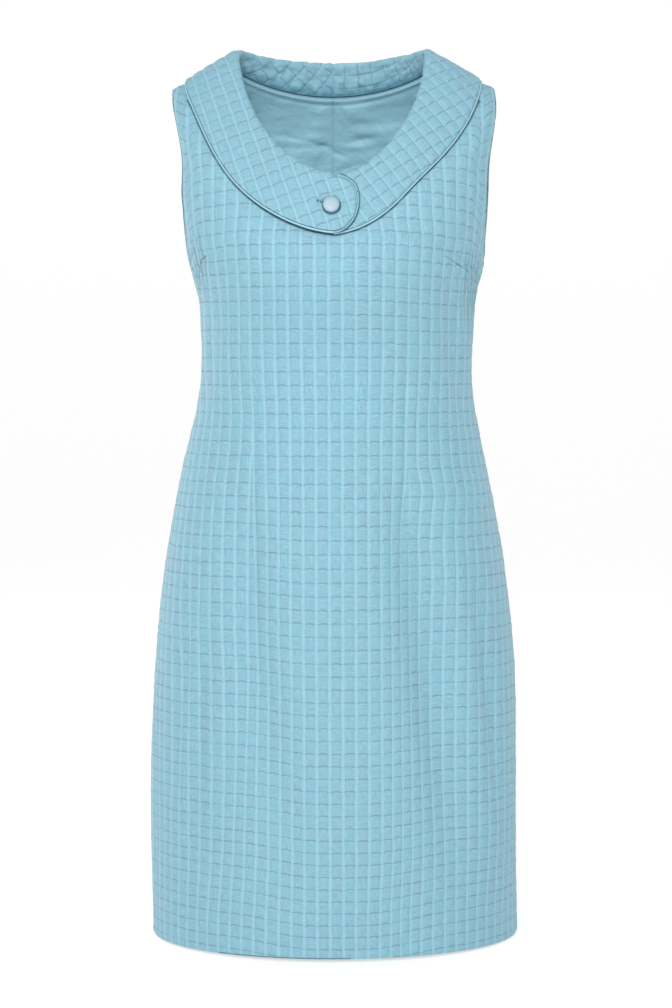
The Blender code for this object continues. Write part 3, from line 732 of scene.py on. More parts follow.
@dataclass(frozen=True)
class BlisterFinish:
    """The blister cloth: padded squares of matt yarn between lighter, smoother bands."""

    name: str = "blister cloth"
    cell: tuple[float, float, float, float] = (0.206, 0.400, 0.491, 1)
    warm_cell: tuple[float, float, float, float] = (0.212, 0.385, 0.482, 1)
    cool_cell: tuple[float, float, float, float] = (0.192, 0.406, 0.489, 1)
    band: tuple[float, float, float, float] = (0.254, 0.478, 0.576, 1)
    # groove: painted shade in the grooves and on the pleats' dark sides; the dark threads take the same colour.
    groove: tuple[float, float, float, float] = (0.094, 0.246, 0.322, 1)
    fleck: tuple[float, float, float, float] = (0.370, 0.590, 0.680, 1)
    # line: sewn dart lines, and painted shadow lines at the armholes, hem, collar edge, tab end and button.
    line: tuple[float, float, float, float] = (0.040, 0.125, 0.165, 1)
    # Painted shade at the stand's foot.
    foot_painted_shade: tuple[float, float, float, float] = (0.080, 0.240, 0.330, 1)
    pleat: float = 0.0066
    sway: float = 0.0020
    ragged: float = 0.0011
    light_threads: float = 0.56
    dark_threads: float = 0.26
    groove_shade_share: float = 0.56
    fleck_share: float = 0.36
    # How strongly the pleats take painted shade and painted highlight.
    pleat_painted_shade: float = 0.60
    pleat_painted_highlight: float = 0.45
    line_reach: float = 0.0012
    bump_depth: float = 0.0007
    bump_strength: float = 0.8
    roughness: float = 0.66
    weave: Blister = WEAVE

    def build(self) -> bpy.types.Material:
        """Colours and bumps the weave from the UV map, in step with the raised cells of the mesh, with painted shade in
        the grooves, on the pleats, at the stand's foot and along the painted shadow lines.

        Returns:
            The material.
        """
        g = Graph(self.name)
        w = self.weave
        vector, u, v = g.uv()
        u = g.swayed(u, vector, 55.0, self.sway)
        v = g.swayed(v, vector, 43.0, self.sway)
        ragged_v = g.swayed(v, vector, 420.0, self.ragged)
        columns = g.math("DIVIDE", g.math("SUBTRACT", u, w.first_band), w.cell_width)
        across = g.math("FRACT", columns)
        share = w.band / w.cell_width
        s = g.math("DIVIDE", g.math("ABSOLUTE", g.math("SUBTRACT", across, 0.5)), 0.5 - share / 2)
        bowing = g.math("MULTIPLY", g.math("SUBTRACT", 1.0, g.math("MINIMUM", g.math("MULTIPLY", s, s), 1.2)), w.bow)
        lifted = g.math("SUBTRACT", ragged_v, bowing)
        rows = g.math("DIVIDE", g.math("SUBTRACT", lifted, w.first_groove), w.cell_height)
        t = g.math("FRACT", rows)
        band = g.smooth(s, 0.82, 1.14)

        # Each cell draws numbers of its own, for its tint, its threads' direction and its groove's strength.
        spot = g.node("ShaderNodeCombineXYZ")
        g.feed(spot.inputs[0], g.math("FLOOR", columns))
        g.feed(spot.inputs[1], g.math("FLOOR", rows))
        draw = g.node("ShaderNodeTexWhiteNoise", noise_dimensions="2D")
        g.feed(draw.inputs["Vector"], spot.outputs[0])
        pick = draw.outputs["Value"]
        part = g.node("ShaderNodeSeparateColor")
        g.feed(part.inputs[0], draw.outputs["Color"])

        upright = g.noise(g.stretched(vector, 520.0, 110.0), 1.0, 2.0)
        level = g.noise(g.stretched(vector, 110.0, 560.0), 1.0, 2.0)
        which = g.smooth(part.outputs[1], 0.35, 0.65)
        threads = g.math(
            "ADD", g.math("MULTIPLY", upright, which), g.math("MULTIPLY", level, g.math("SUBTRACT", 1.0, which))
        )
        cloudy = g.noise(vector, 150.0)
        tint = g.math("ADD", pick, g.math("MULTIPLY", g.math("SUBTRACT", cloudy, 0.5), 0.9))
        colour = g.mix(g.smooth(tint, 0.60, 1.05), self.cell, self.warm_cell)
        colour = g.mix(g.smooth(tint, 0.40, -0.05), colour, self.cool_cell)
        colour = g.mix(g.math("MULTIPLY", g.smooth(threads, 0.48, 0.72), self.light_threads), colour, self.band)
        colour = g.mix(g.math("MULTIPLY", g.smooth(threads, 0.50, 0.28), self.dark_threads), colour, self.groove)
        band_share = g.math("MULTIPLY", band, g.math("ADD", 0.15, g.math("MULTIPLY", g.noise(vector, 95.0), 1.4)))
        colour = g.mix(band_share, colour, self.band)

        # Grooves are bowed, with painted shade in them, a row of light flecks under them and loose ones elsewhere.
        to_groove = g.math("ABSOLUTE", g.math("SUBTRACT", t, 0.5))
        strength = g.math("ADD", 0.45, g.math("MULTIPLY", part.outputs[0], 0.55))
        hidden = g.math("SUBTRACT", 1.0, g.math("MULTIPLY", g.smooth(s, 0.92, 1.12), 0.75))
        groove = g.math("MULTIPLY", g.smooth(to_groove, 0.43, 0.485), g.math("MULTIPLY", strength, hidden))
        colour = g.mix(g.math("MULTIPLY", groove, self.groove_shade_share), colour, self.groove)
        under = g.math("MULTIPLY", g.smooth(t, 0.80, 0.87), g.smooth(t, 0.95, 0.89))
        dash = g.smooth(g.noise(g.stretched(vector, 230.0, 520.0), 1.0, 1.0), 0.50, 0.66)
        fleck = g.math("MULTIPLY", g.math("MULTIPLY", under, dash), hidden)
        loose = g.smooth(g.noise(g.stretched(vector, 330.0, 620.0), 1.0, 2.0), 0.66, 0.76)
        fleck = g.math("MAXIMUM", fleck, g.math("MULTIPLY", loose, 0.6))
        colour = g.mix(g.math("MULTIPLY", fleck, self.fleck_share), colour, self.fleck)

        # The mesh's layers add painted shade at the stand's foot, gather fine pleats with painted shade and highlight,
        # and draw dark lines: sewn lines and painted shadow lines.
        shade = g.math("MULTIPLY", g.layer("shade"), g.math("ADD", 0.35, g.math("MULTIPLY", cloudy, 0.8)))
        colour = g.mix(shade, colour, self.foot_painted_shade)
        turns = g.math("MULTIPLY", g.math("ADD", u, g.math("MULTIPLY", v, 0.12)), 2 * math.pi / self.pleat)
        wave = g.math("SINE", g.math("ADD", turns, g.math("MULTIPLY", g.noise(vector, 70.0), 7.0)))
        pleats = g.math("MULTIPLY", wave, g.layer("pleat"))
        # Painted shade and painted highlight on the two sides of the fine pleats.
        colour = g.mix(g.math("MULTIPLY", g.smooth(pleats, 0.15, 0.85), self.pleat_painted_shade), colour, self.groove)
        colour = g.mix(g.math("MULTIPLY", g.smooth(pleats, -0.20, -0.85), self.pleat_painted_highlight), colour, self.band)
        # Dark lines: sewn lines, and painted shadow lines along edges and round the button.
        line = g.math("MULTIPLY", g.on_line(self.line_reach), g.math("ADD", 0.50, g.math("MULTIPLY", cloudy, 0.7)))
        colour = g.mix(line, colour, self.line)
        g.feed(g.shader.inputs["Base Color"], colour)
        g.shader.inputs["Roughness"].default_value = self.roughness
        g.shader.inputs["Specular IOR Level"].default_value = 0.35
        g.shader.inputs["Sheen Weight"].default_value = 0.10
        g.shader.inputs["Sheen Roughness"].default_value = 0.5
        lift = g.math("SUBTRACT", g.math("MULTIPLY", threads, 0.40), g.math("MULTIPLY", groove, 0.9))
        edge = g.math("MULTIPLY", g.math("MULTIPLY", g.smooth(s, 0.72, 0.92), g.smooth(s, 1.12, 0.98)), -0.40)
        lift = g.math("ADD", g.math("ADD", lift, edge), g.math("MULTIPLY", fleck, 0.35))
        lift = g.math("SUBTRACT", lift, g.math("ADD", g.math("MULTIPLY", line, 0.8), g.math("MULTIPLY", pleats, 1.3)))
        g.bump(lift, self.bump_depth, self.bump_strength)
        return g.material


@dataclass(frozen=True)
class SatinFinish:
    """Satin of the lining, piping and button: smooth, with a soft gloss and fine uneven cross threads."""

    name: str
    colour: tuple[float, float, float, float]
    shade: tuple[float, float, float, float]
    roughness: float = 0.38
    gloss: float = 0.5
    scale: float = 900.0
    mapped: bool = True
    crumple: float = 0.0
    thread_height: float = 0.00008
    line: tuple[float, float, float, float] = (0.110, 0.250, 0.300, 1)
    line_reach: float = 0.0006
    line_share: float = 0.32

    def build(self) -> bpy.types.Material:
        """Colours the satin with faint uneven threads, and creases it by a folded noise where it is crumpled.

        Returns:
            The material.
        """
        g = Graph(self.name)
        if self.mapped:
            vector = g.uv()[0]
        else:
            vector = g.node("ShaderNodeTexCoord").outputs["Object"]
        threads = g.node("ShaderNodeMapping")
        g.feed(threads.inputs["Vector"], vector)
        threads.inputs["Scale"].default_value = (self.scale, self.scale / 6, self.scale)
        fine = g.noise(threads.outputs[0], 1.0, 1.0)
        cloud = g.noise(vector, 30.0)
        share = g.math("ADD", g.math("MULTIPLY", g.smooth(fine, 0.35, 0.7), 0.3), g.math("MULTIPLY", cloud, 0.4))
        colour = g.mix(share, self.colour, self.shade)
        seam = g.math("MULTIPLY", g.on_line(self.line_reach), self.line_share)
        g.feed(g.shader.inputs["Base Color"], g.mix(seam, colour, self.line))
        g.shader.inputs["Roughness"].default_value = self.roughness
        g.shader.inputs["Specular IOR Level"].default_value = self.gloss
        g.shader.inputs["Sheen Weight"].default_value = 0.1
        creased = g.math("ABSOLUTE", g.math("SUBTRACT", g.noise(vector, 34.0, 3.0), 0.5))
        height = g.math("ADD", g.math("MULTIPLY", fine, self.thread_height), g.math("MULTIPLY", creased, self.crumple))
        g.bump(height, 1.0, 1.0)
        return g.material


@dataclass(frozen=True)
class PanelCut:
    """How a panel is cut from the body's surface: its rows, its columns and its edges."""

    front: bool
    half: Half | None
    columns: int
    skirt_rows: int
    armhole_rows: int
    shoulder_rows: int
    low: float = 0.0
    above: float = 0.0
    darts: tuple[tuple[Dart, int], ...] = ()

    def stations(self) -> Array:
        """Rows from the hem: even up to the underarm, then closer at both ends of the armhole."""
        underarm, tip, top = BODY.station_of("underarm"), BODY.station_of("shoulder tip"), BODY.stations[-1]
        skirt = np.linspace(self.low, underarm, self.skirt_rows + 1)
        turn = np.linspace(0, math.pi, self.armhole_rows + 1)[1:]
        armhole = underarm + (tip - underarm) * (1 - np.cos(turn)) / 2
        return np.concatenate([skirt, armhole, np.linspace(tip, top + self.above, self.shoulder_rows + 1)[1:]])

    def edge_reach(self, stations: Array, inset: float) -> Array:
        """How far from the side seam each row stops: half the seam's gap, or half an ellipse at the armhole."""
        underarm, tip = BODY.station_of("underarm"), BODY.station_of("shoulder tip")
        reach = ARMHOLE_FRONT_REACH if self.front else ARMHOLE_BACK_REACH
        part = (2 * stations - underarm - tip) / (tip - underarm)
        return np.maximum((reach + inset) * np.sqrt(np.clip(1 - part**2, 0, 1)), SEWN_GAP / 2)

    def grid(self, inset: float = 0.0) -> tuple[Array, Array]:
        """Angles and stations of the panel's points, its columns evenly spaced along each row.

        Args:
            inset: How far inside the shell's surface the panel lies, which widens the armhole.

        Returns:
            Angles and stations, as grids. For a back half they are those of the viewer's right half.
        """
        stations = self.stations()
        angles = np.linspace(0, math.pi, 721)
        rows = BODY.points(angles[None, :], stations[:, None])
        from_seam = rows[..., 1] - rows[:, 360, 1][:, None]
        stop = self.edge_reach(stations, inset)
        sign = -1 if self.front else 1
        edge = np.array([np.interp(sign * s, d, angles) for s, d in zip(stop, from_seam)])
        middle = math.pi - SEWN_GAP / 2 / np.abs(rows[:, -1, 1])
        start, end = (-edge, edge) if self.front else (edge, middle)
        fine = start[:, None] + (end - start)[:, None] * np.linspace(0, 1, 721)
        line = BODY.points(fine, stations[:, None])
        length = lengths_along(line, axis=1)
        knots = [(0, length[:, 0]), (self.columns, length[:, -1])]
        way = 1 if self.front else -1
        for dart, column in self.darts:
            knots.append((column, [np.interp(way * dart.x, way * x, run) for x, run in zip(line[..., 0], length)]))
        knots.sort(key=lambda knot: knot[0])
        places, reach = np.array([knot[0] for knot in knots]), np.stack([knot[1] for knot in knots], axis=1)
        column = np.arange(self.columns + 1)
        angle = np.array(
            [np.interp(np.interp(column, places, stop), run, turn) for stop, run, turn in zip(reach, length, fine)]
        )
        return angle, stations[:, None] + 0 * angle

    def dart_shift(self, z: Array) -> Array:
        """What each column of faces adds to u at each row, for the darts between it and the panel's middle."""
        shift = np.zeros((len(z), self.columns))
        for dart, column in self.darts:
            beyond = slice(column, None) if self.front and dart.x > 0 else slice(None, column)
            shift[:, beyond] += dart.shift(z)[:, None]
        return shift


@dataclass
class Panel:
    """One cut panel of the shell or the lining, as a closed sheet with a wall."""

    name: str
    cut: PanelCut
    depth: float
    wall: float
    slot: Slot
    finish: bpy.types.Material
    pitch: tuple[int, int] = (4, 4)
    relief: Callable[[Array, Array, Array], Array] | None = None
    shows_through: bool = False
    layers: Callable[[Array, Array], dict[str, Array]] | None = None

    def build(self) -> bpy.types.Object:
        """Works out the panel's outer and inner faces and makes its mesh.

        The outer face is the body's surface, moved in by depth and out by the relief; the inner one lies a wall
        further in, with the relief where it shows through. A left back half lies at the right one's angles, negated.

        Returns:
            The finished piece, riding on the root body.
        """
        angle, station = self.cut.grid(self.depth)
        mirrored = self.cut.half is Half.LEFT
        if mirrored:
            angle, station = -angle[:, ::-1], station[:, ::-1]
        surface, normal = BODY.points(angle, station), BODY.normals(angle, station)
        u, v = GrainMap(self.cut.front).cloth_place(surface)
        shift = self.cut.dart_shift(surface[:, 0, 2] if self.cut.front else surface[:, -1, 2])
        if mirrored:
            shift = -shift[:, ::-1]
        moved = u + np.concatenate([shift[:, :1], (shift[:, 1:] + shift[:, :-1]) / 2, shift[:, -1:]], axis=1)
        rise = self.relief(moved, v, surface) if self.relief else 0 * u
        outer = surface + (rise - self.depth)[..., None] * normal
        under = (rise if self.shows_through else 0 * rise) - self.depth - self.wall
        inner = (surface + under[..., None] * normal)[:: self.pitch[0], :: self.pitch[1]]
        piece = cloth_mesh(self.name, outer, inner, u, v, self.pitch, shift)
        for layer, values in (self.layers(surface, station) if self.layers else {}).items():
            add_layer(piece, layer, values, self.pitch)
        piece.data.materials.append(self.finish)
        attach(piece, "root")
        return piece


def edge_fade(grid: Array, reach: float) -> Array:
    """0 on the border of a grid of points and 1 once reach metres inside it, smooth between them."""
    rows, columns = lengths_along(grid, axis=0), lengths_along(grid, axis=1)
    near = np.minimum.reduce([rows, rows[-1:] - rows, columns, columns[:, -1:] - columns])
    return smooth_step(near, 0.0, reach)


@dataclass
class Shell:
    """The dress's own cloth: a whole front and two back halves."""

    finish: bpy.types.Material
    collar_edge: Array
    turn_in: float = 0.0007
    weave_fade: float = 0.004
    turn_fade: float = 0.0028
    middle_within: float = 0.01

    def relief(self, u: Array, v: Array, surface: Array) -> Array:
        """The weave's padded squares, fading out at the panel's edges, which turn in a little."""
        turned = 1 - edge_fade(surface, self.turn_fade)
        return WEAVE.height(u, v) * edge_fade(surface, self.weave_fade) - self.turn_in * turned

    def layers(self, surface: Array, station: Array) -> dict[str, Array]:
        """The layers that the finish reads: ON_LINE plus the distance from a dark line, and a share of pleats.

        The lines are the sewn lines at the ends of the darts, and painted shadow lines along the armholes, along part
        of the hem and under the collar's edge, whose height at each x is collar_edge.

        Args:
            surface: The panel's points.
            station: How far up the body each lies.

        Returns:
            Both layers, one number per point.
        """
        x, z = surface[..., 0], surface[..., 2]
        run = lengths_along(surface, axis=1)
        ends = ((run, x[:, 0]), (run[:, -1:] - run, x[:, -1]))
        open_ends = [far for far, end in ends if np.abs(end).mean() > self.middle_within]
        beside = (station > BODY.station_of("underarm")) & (station < BODY.station_of("shoulder tip"))
        # A painted shadow line inside each armhole.
        away = [np.where(beside, np.minimum.reduce(open_ends) - ARMHOLE_SHADOW_LINE, FAR_OFF) * ARMHOLE_THIN]
        pleats = 0 * x
        if surface[0, surface.shape[1] // 2, 1] < 0:
            edge_x, edge_z = self.collar_edge
            drop = np.interp(x, edge_x, edge_z) - z
            slope = np.interp(x, edge_x, np.gradient(edge_z, edge_x))
            under = (x > edge_x[0]) & (x < edge_x[-1])
            # A painted shadow line just below the collar's lower edge.
            away.append(np.where(under, (drop / np.hypot(1, slope) - COLLAR_SHADOW_LINE) * COLLAR_THIN, FAR_OFF))
            # A painted shadow line along part of the hem's lower edge.
            away.append(np.where((x > HEM_SHADOW_LINE[0]) & (x < HEM_SHADOW_LINE[1]), station - HEM_SHADOW_LINE_UP, FAR_OFF))
            for (x0, z0), (x1, z1) in SEWN_LINES.values():
                length = math.hypot(x1 - x0, z1 - z0)
                along = np.clip(((x - x0) * (x1 - x0) + (z - z0) * (z1 - z0)) / length**2, 0, 1)
                off = np.hypot(x - x0 - along * (x1 - x0), z - z0 - along * (z1 - z0))
                away.append(off * SEAM_THIN + SEAM_FAINT)
            for at_x, at_z, across, up in PLEATS.values():
                pleats = pleats + np.exp(-(((x - at_x) / across) ** 2) - ((z - at_z) / up) ** 2)
        return {"line": ON_LINE + nearest(away), "pleat": pleats}

    def build(self) -> list[bpy.types.Object]:
        """Builds the three panels in place of their solids.

        Returns:
            The panels.
        """
        sizes = dict(skirt_rows=280, armhole_rows=96, shoulder_rows=16)
        left, right, back = (Dart(*DARTS[name]) for name in ("front left", "front right", "back"))
        cuts = {
            "front": PanelCut(True, None, 216, darts=((left, 64), (right, 148)), **sizes),
            "back_left": PanelCut(False, Half.LEFT, 108, darts=((back, 72),), **sizes),
            "back_right": PanelCut(False, Half.RIGHT, 108, darts=((back, 72),), **sizes),
        }
        made = []
        for node, cut in cuts.items():
            piece = Panel(
                f"shell_{node}", cut, 0.0, SHELL_WALL, Slot.CLOTH, self.finish, relief=self.relief, layers=self.layers
            ).build()
            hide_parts(node)
            made.append(piece)
        return made


@dataclass
class Lining:
    """The satin lining, a little slack: a front and two back halves.

    The ridges are read by their distance below the panel's top edge: each has its place, its width and its height
    outwards. The first is the rolled fold, the second the groove under it and the third the lip that meets the stand.
    """

    finish: bpy.types.Material
    wrinkle_depth: float = 0.0032
    wrinkle_fade: float = 0.020
    wrinkles_from: tuple[float, float] = (-0.4, 1.3)
    ridges: tuple[tuple[float, float, float], ...] = (
        (0.0035, 0.0024, -0.0013), (0.0090, 0.0018, 0.0009), (0.0, 0.0016, 0.0012)
    )
    seam_width: float = 0.0004
    seam_height: float = 0.0010

    def relief(self, u: Array, v: Array, surface: Array) -> Array:
        """Soft wrinkles across the body, creases below the back neck and the ridges along the neck seam.

        Wrinkles only go inwards and fade at the sewn edges. A crease is a Gaussian dip across a tilted line, a ridge
        is a Gaussian of the distance below the top edge, and the centre seam is a narrow step outwards.

        Args:
            u: Place across the cloth; not used.
            v: Place up the cloth; not used.
            surface: The panel's points.

        Returns:
            The height of each point.
        """
        places = np.stack([surface[..., 0] * 0.55, surface[..., 1] * 0.55, surface[..., 2] * 1.6], axis=-1)
        wave = soft_noise(places, 0.060, 31) + 0.6 * soft_noise(places, 0.026, 32)
        rise = -self.wrinkle_depth * smooth_step(wave, *self.wrinkles_from) * edge_fade(surface, self.wrinkle_fade)
        for x, z, reach, width, tilt, depth in CREASES.values():
            away, up = surface[..., 0] - x, surface[..., 2] - z - tilt * (surface[..., 0] - x)
            rise += depth * np.exp(-((away / reach) ** 2) - (up / width) ** 2) * (surface[..., 1] > 0)
        run = lengths_along(surface, axis=0)
        below = run[-1:] - run
        for place, width, height in self.ridges:
            rise += height * np.exp(-(((below - place) / width) ** 2))
        return rise + self.seam_height * (np.abs(surface[..., 0]) < self.seam_width)

    @staticmethod
    def layers(surface: Array, station: Array) -> dict[str, Array]:
        """The line layer, along the seam at centre back."""
        return {"line": np.where(surface[..., 1] > 0, ON_LINE + surface[..., 0], 0.0)}

    def build(self) -> list[bpy.types.Object]:
        """Builds the three lining panels in place of their solids.

        Returns:
            The panels.
        """
        sizes = dict(skirt_rows=110, armhole_rows=90, shoulder_rows=28, low=LINING_SHORTER_BY, above=0.0030)
        cuts = {
            "lining_front": PanelCut(True, None, 72, **sizes),
            "lining_back_left": PanelCut(False, Half.LEFT, 72, **sizes),
            "lining_back_right": PanelCut(False, Half.RIGHT, 72, **sizes),
        }
        made = []
        for node, cut in cuts.items():
            piece = Panel(
                f"satin_{node}", cut, SHELL_WALL + LINING_CLEARANCE, LINING_WALL, Slot.LINING, self.finish,
                pitch=(1, 1), relief=self.relief, shows_through=True, layers=self.layers,
            ).build()
            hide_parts(node)
            made.append(piece)
        return made


def carried_profile(
    name: str, path: Array, upright: Array, half_width: Array, half_height: Array, sides: int = 16
) -> bpy.types.Object:
    """An ellipse carried along a path: path + half_width * cos(t) * side + half_height * sin(t) * up.

    Args:
        name: The piece's name.
        path: Points along its middle.
        upright: The direction of up at each point.
        half_width: Half the width at each point.
        half_height: Half the height at each point.
        sides: Points round the ellipse.

    Returns:
        A closed object, with a UV map of the distances round it and along it.
    """
    tangent = unit(np.gradient(path, axis=0))
    side = unit(np.cross(tangent, upright))
    up = np.cross(side, tangent)
    turn = np.linspace(0, 2 * math.pi, sides, endpoint=False)
    wide = (half_width[:, None] * np.cos(turn))[..., None] * side[:, None]
    high = (half_height[:, None] * np.sin(turn))[..., None] * up[:, None]
    points = path[:, None] + wide + high
    count = len(path)
    index = np.arange(count * sides).reshape(count, sides)
    after = np.roll(index, -1, axis=1)
    walls = np.stack([index[:-1], index[1:], after[1:], after[:-1]], axis=-1).reshape(-1, 4)
    mesh = bpy.data.meshes.new(name)
    mesh.from_pydata(points.reshape(-1, 3).tolist(), [], walls.tolist() + [index[0].tolist(), index[-1, ::-1].tolist()])
    along = lengths_along(path)[:, None] + 0 * turn
    round_it = turn * float(np.max(half_width)) + 0 * along
    corner = np.empty(len(mesh.loops), np.int32)
    mesh.loops.foreach_get("vertex_index", corner)
    layer = mesh.uv_layers.new(name="cloth")
    cloth = np.stack([round_it, along], axis=-1).reshape(-1, 2)
    layer.data.foreach_set("uv", cloth[corner].astype(np.float32).ravel())
    mesh.shade_smooth()
    mesh.set_sharp_from_angle(angle=PROFILE_SHARP_FROM)
    piece = bpy.data.objects.new(name, mesh)
    bpy.context.scene.collection.objects.link(piece)
    return piece


def grid_normals(grid: Array) -> Array:
    """Unit normals of a grid of points, from the directions along its rows and columns."""
    return unit(np.cross(np.gradient(grid, axis=1), np.gradient(grid, axis=0)))


@dataclass(frozen=True)
class CollarForm:
    """The middle surface of one collar half: a hairpin section carried round the neck seam.

    At each angle the section runs from the neck seam up the stand, round the roll's circle and down the fall to
    its edge. The stand and the fall are tangents of that circle, and the fall bulges by FALL_BULGE * sin(pi * t).
    """

    half: Half
    stand_steps: int = 20
    roll_steps: int = 10
    fall_steps: int = 60
    along_steps: int = 320
    crowding: float = 1.5

    def overlap(self, angle: Array) -> Array:
        """How far this half lies above the other near centre front; only the left one laps over."""
        if self.half is Half.RIGHT:
            return 0 * angle
        x = -BodyForm.ring(angle, ROLLS[self.half.value])[..., 0]
        part = np.where(angle > math.pi / 2, 0, np.clip((x + OVERLAP_START) / (OVERLAP_START - OVERLAP_FULL), 0, 1))
        return OVERLAP_LIFT * part**2 * (3 - 2 * part)

    def body(self, angle: Array, station: Array) -> tuple[Array, Array]:
        """Points and normals of the body on the half's own side, mirrored to the viewer's right."""
        side = self.half.value
        mirror = np.array([side, 1.0, 1.0])
        return BODY.points(side * angle, station) * mirror, BODY.normals(side * angle, station) * mirror

    def edge(self, angle: Array) -> tuple[Array, Array]:
        """Points and normals on the body under the fall's edge: its width measured down from the neck seam."""
        stations = np.linspace(BODY.stations[-1], BODY.station_of("low armhole"), 300)
        lines = self.body(angle[:, None], stations[None, :])[0]
        widths = np.array(FALL_WIDTHS[self.half.value])[:, None]
        width = smooth_through(np.radians(FALL_ANGLES), widths, np.abs(angle))[:, 0]
        station = np.array([np.interp(w, run, stations) for w, run in zip(width, lengths_along(lines, axis=1))])
        return self.body(angle, station)

    def sections(self, angle: Array) -> Array:
        """The hairpin sections at these angles, as rows of points from the neck seam to the fall's edge."""
        top = np.full_like(angle, BODY.stations[-1])
        seam, normal = self.body(angle, top)
        inward = unit(seam - self.body(angle, top - NEAR)[0])
        foot = seam - normal * SHELL_WALL / 2 + inward * (COLLAR_WALL / 2 + 3 * SEAM_GAP)
        edge, edge_normal = self.edge(angle)
        lift = self.overlap(angle)[:, None]
        edge = edge + edge_normal * (COLLAR_WALL / 2 + COLLAR_CLEARANCE + lift)
        radius = ROLL_RADIUS + lift / 2
        out = unit((edge - foot) * np.array([1.0, 1.0, 0.0]))
        centre = BodyForm.ring(angle, ROLLS[self.half.value]) - np.array([0, 0, ROLL_RADIUS]) + out * lift / 2
        to_foot, to_edge = unit(foot - centre), unit(edge - centre)
        away_up = -unit(to_foot + to_edge)
        away_out = unit(to_edge - away_up * np.sum(to_edge * away_up, axis=-1, keepdims=True))

        def tangent_turn(point: Array) -> Array:
            """The angle on the circle, from away_up, where the tangent from a point touches it."""
            away = np.linalg.norm(point - centre, axis=-1, keepdims=True)
            turn = np.arccos(np.sum((point - centre) * away_up, axis=-1, keepdims=True) / away)
            return turn - np.arccos(np.minimum(radius / away, 1.0))

        low, high = -tangent_turn(foot), tangent_turn(edge)
        turns = (low + (high - low) * np.linspace(0, 1, self.roll_steps + 1))[..., None]
        round_it = np.cos(turns) * away_up[:, None] + np.sin(turns) * away_out[:, None]
        arc = centre[:, None] + radius[..., None] * round_it
        climb = np.linspace(0, 1, self.stand_steps + 1)[:-1, None]
        stand = foot[:, None] + (arc[:, :1] - foot[:, None]) * climb
        across = (1 - np.cos(np.linspace(0, math.pi, self.fall_steps + 1)[1:]))[:, None] / 2
        bulge = FALL_BULGE * np.sin(math.pi * across)
        fall = arc[:, -1:] + (edge[:, None] - arc[:, -1:]) * across + edge_normal[:, None] * bulge
        return np.concatenate([stand, arc, fall], axis=1)

    def reach(self) -> Array:
        """How far past centre front each line runs: the tab's round end on the fall, and nothing above it."""
        across = np.abs(np.cos(np.linspace(0, math.pi, self.fall_steps + 1)[1:]))
        if self.half is Half.LEFT:
            fall = TAB_REACH * np.sqrt(np.clip(1 - across**TAB_SQUARENESS, 0, 1))
        else:
            fall = UNDERLAP_REACH * (1 - across**UNDERLAP_SQUARENESS)
        return np.concatenate([np.zeros(self.first_fall), fall])

    @property
    def first_fall(self) -> int:
        """The section's first point on the fall."""
        return self.stand_steps + self.roll_steps + 1

    def grid(self) -> Array:
        """Points of the half: rows from centre back to its front end, columns from stand to edge.

        Returns:
            A grid whose normals are those of the collar's shown side; on the right half its columns run the
            other way, from edge to stand.
        """
        side = self.half.value
        back = math.pi - SEWN_GAP / 2 / ROLLS[side][4]
        sections = self.sections(np.linspace(back, -PAST_FRONT, 601)) * np.array([side, 1.0, 1.0])
        share = 1 - (1 - np.linspace(0, 1, self.along_steps + 1)) ** self.crowding
        lines = []
        for column, end in enumerate(self.reach() - SEAM_GAP):
            line = sections[:, column]
            length = lengths_along(line)
            stop = np.interp(end, -side * line[300:, 0], length[300:])
            lines.append(np.stack([np.interp(stop * share, length, line[:, axis]) for axis in range(3)], axis=1))
        grid = np.stack(lines, axis=1)
        return grid if self.half is Half.LEFT else grid[:, ::-1]

    def cloth_place(self, grid: Array, lean: float, spot: float) -> tuple[Array, Array]:
        """u and v of the half's points on the flat cloth, found by unrolling the fall rung by rung.

        A rung runs straight from the roll to the edge. The strip between two rungs is two triangles, laid flat in
        their own sizes, so the flat piece turns there by the sum of their angles at the roll, less half a turn. A
        point lies on the flat piece as far along its rung and ahead of it as it does on the fall. Then the piece
        is turned once, until the light bands lean by lean, in radians from upright towards the viewer's left, at
        the place spot.

        Args:
            grid: The half's points.
            lean: How far the bands lean at that place.
            spot: The share of the rows at which they do.

        Returns:
            u and v, in metres of cloth.
        """
        flipped = self.half is Half.RIGHT
        lines = grid[:, ::-1] if flipped else grid
        down = lengths_along(lines, axis=1)
        down = down - down[:, self.first_fall][:, None]
        top, low = lines[:, self.first_fall], lines[:, -1]
        step, rung, cross = np.diff(top, axis=0), unit(low - top), unit(low[:-1] - top[1:])
        lead = np.arccos(np.sum(unit(step) * rung[:-1], axis=-1))
        rest = np.arccos(np.sum(cross * unit(-step), axis=-1)) + np.arccos(np.sum(cross * rung[1:], axis=-1))
        turn = np.concatenate([[0.0], np.cumsum(lead + rest - math.pi)])
        heading = turn[:-1] + lead - math.pi / 2
        ahead = np.stack([np.cos(heading), np.sin(heading)], axis=-1) * np.linalg.norm(step, axis=-1)[:, None]
        start = np.concatenate([[[0.0, 0.0]], np.cumsum(ahead, axis=0)])
        outward = np.stack([np.sin(turn), -np.cos(turn)], axis=-1)
        onward = np.stack([np.cos(turn), np.sin(turn)], axis=-1)
        step = np.concatenate([step, step[-1:]])
        forward = unit(step - rung * np.sum(step * rung, axis=-1, keepdims=True))
        offset = lines - top[:, None]
        on_fall = np.arange(lines.shape[1]) >= self.first_fall
        far = np.where(on_fall, np.sum(offset * rung[:, None], axis=-1), down)
        beside = np.where(on_fall, np.sum(offset * forward[:, None], axis=-1), 0.0)
        flat = start[:, None] + far[..., None] * outward[:, None] + beside[..., None] * onward[:, None]
        row = int(spot * (len(lines) - 1))
        column = (self.first_fall + lines.shape[1]) // 2
        along = (lines[row + 2, column] - lines[row - 2, column])[[0, 2]]
        across = (lines[row, column + 2] - lines[row, column - 2])[[0, 2]]
        seen = np.stack([along, across], axis=-1)
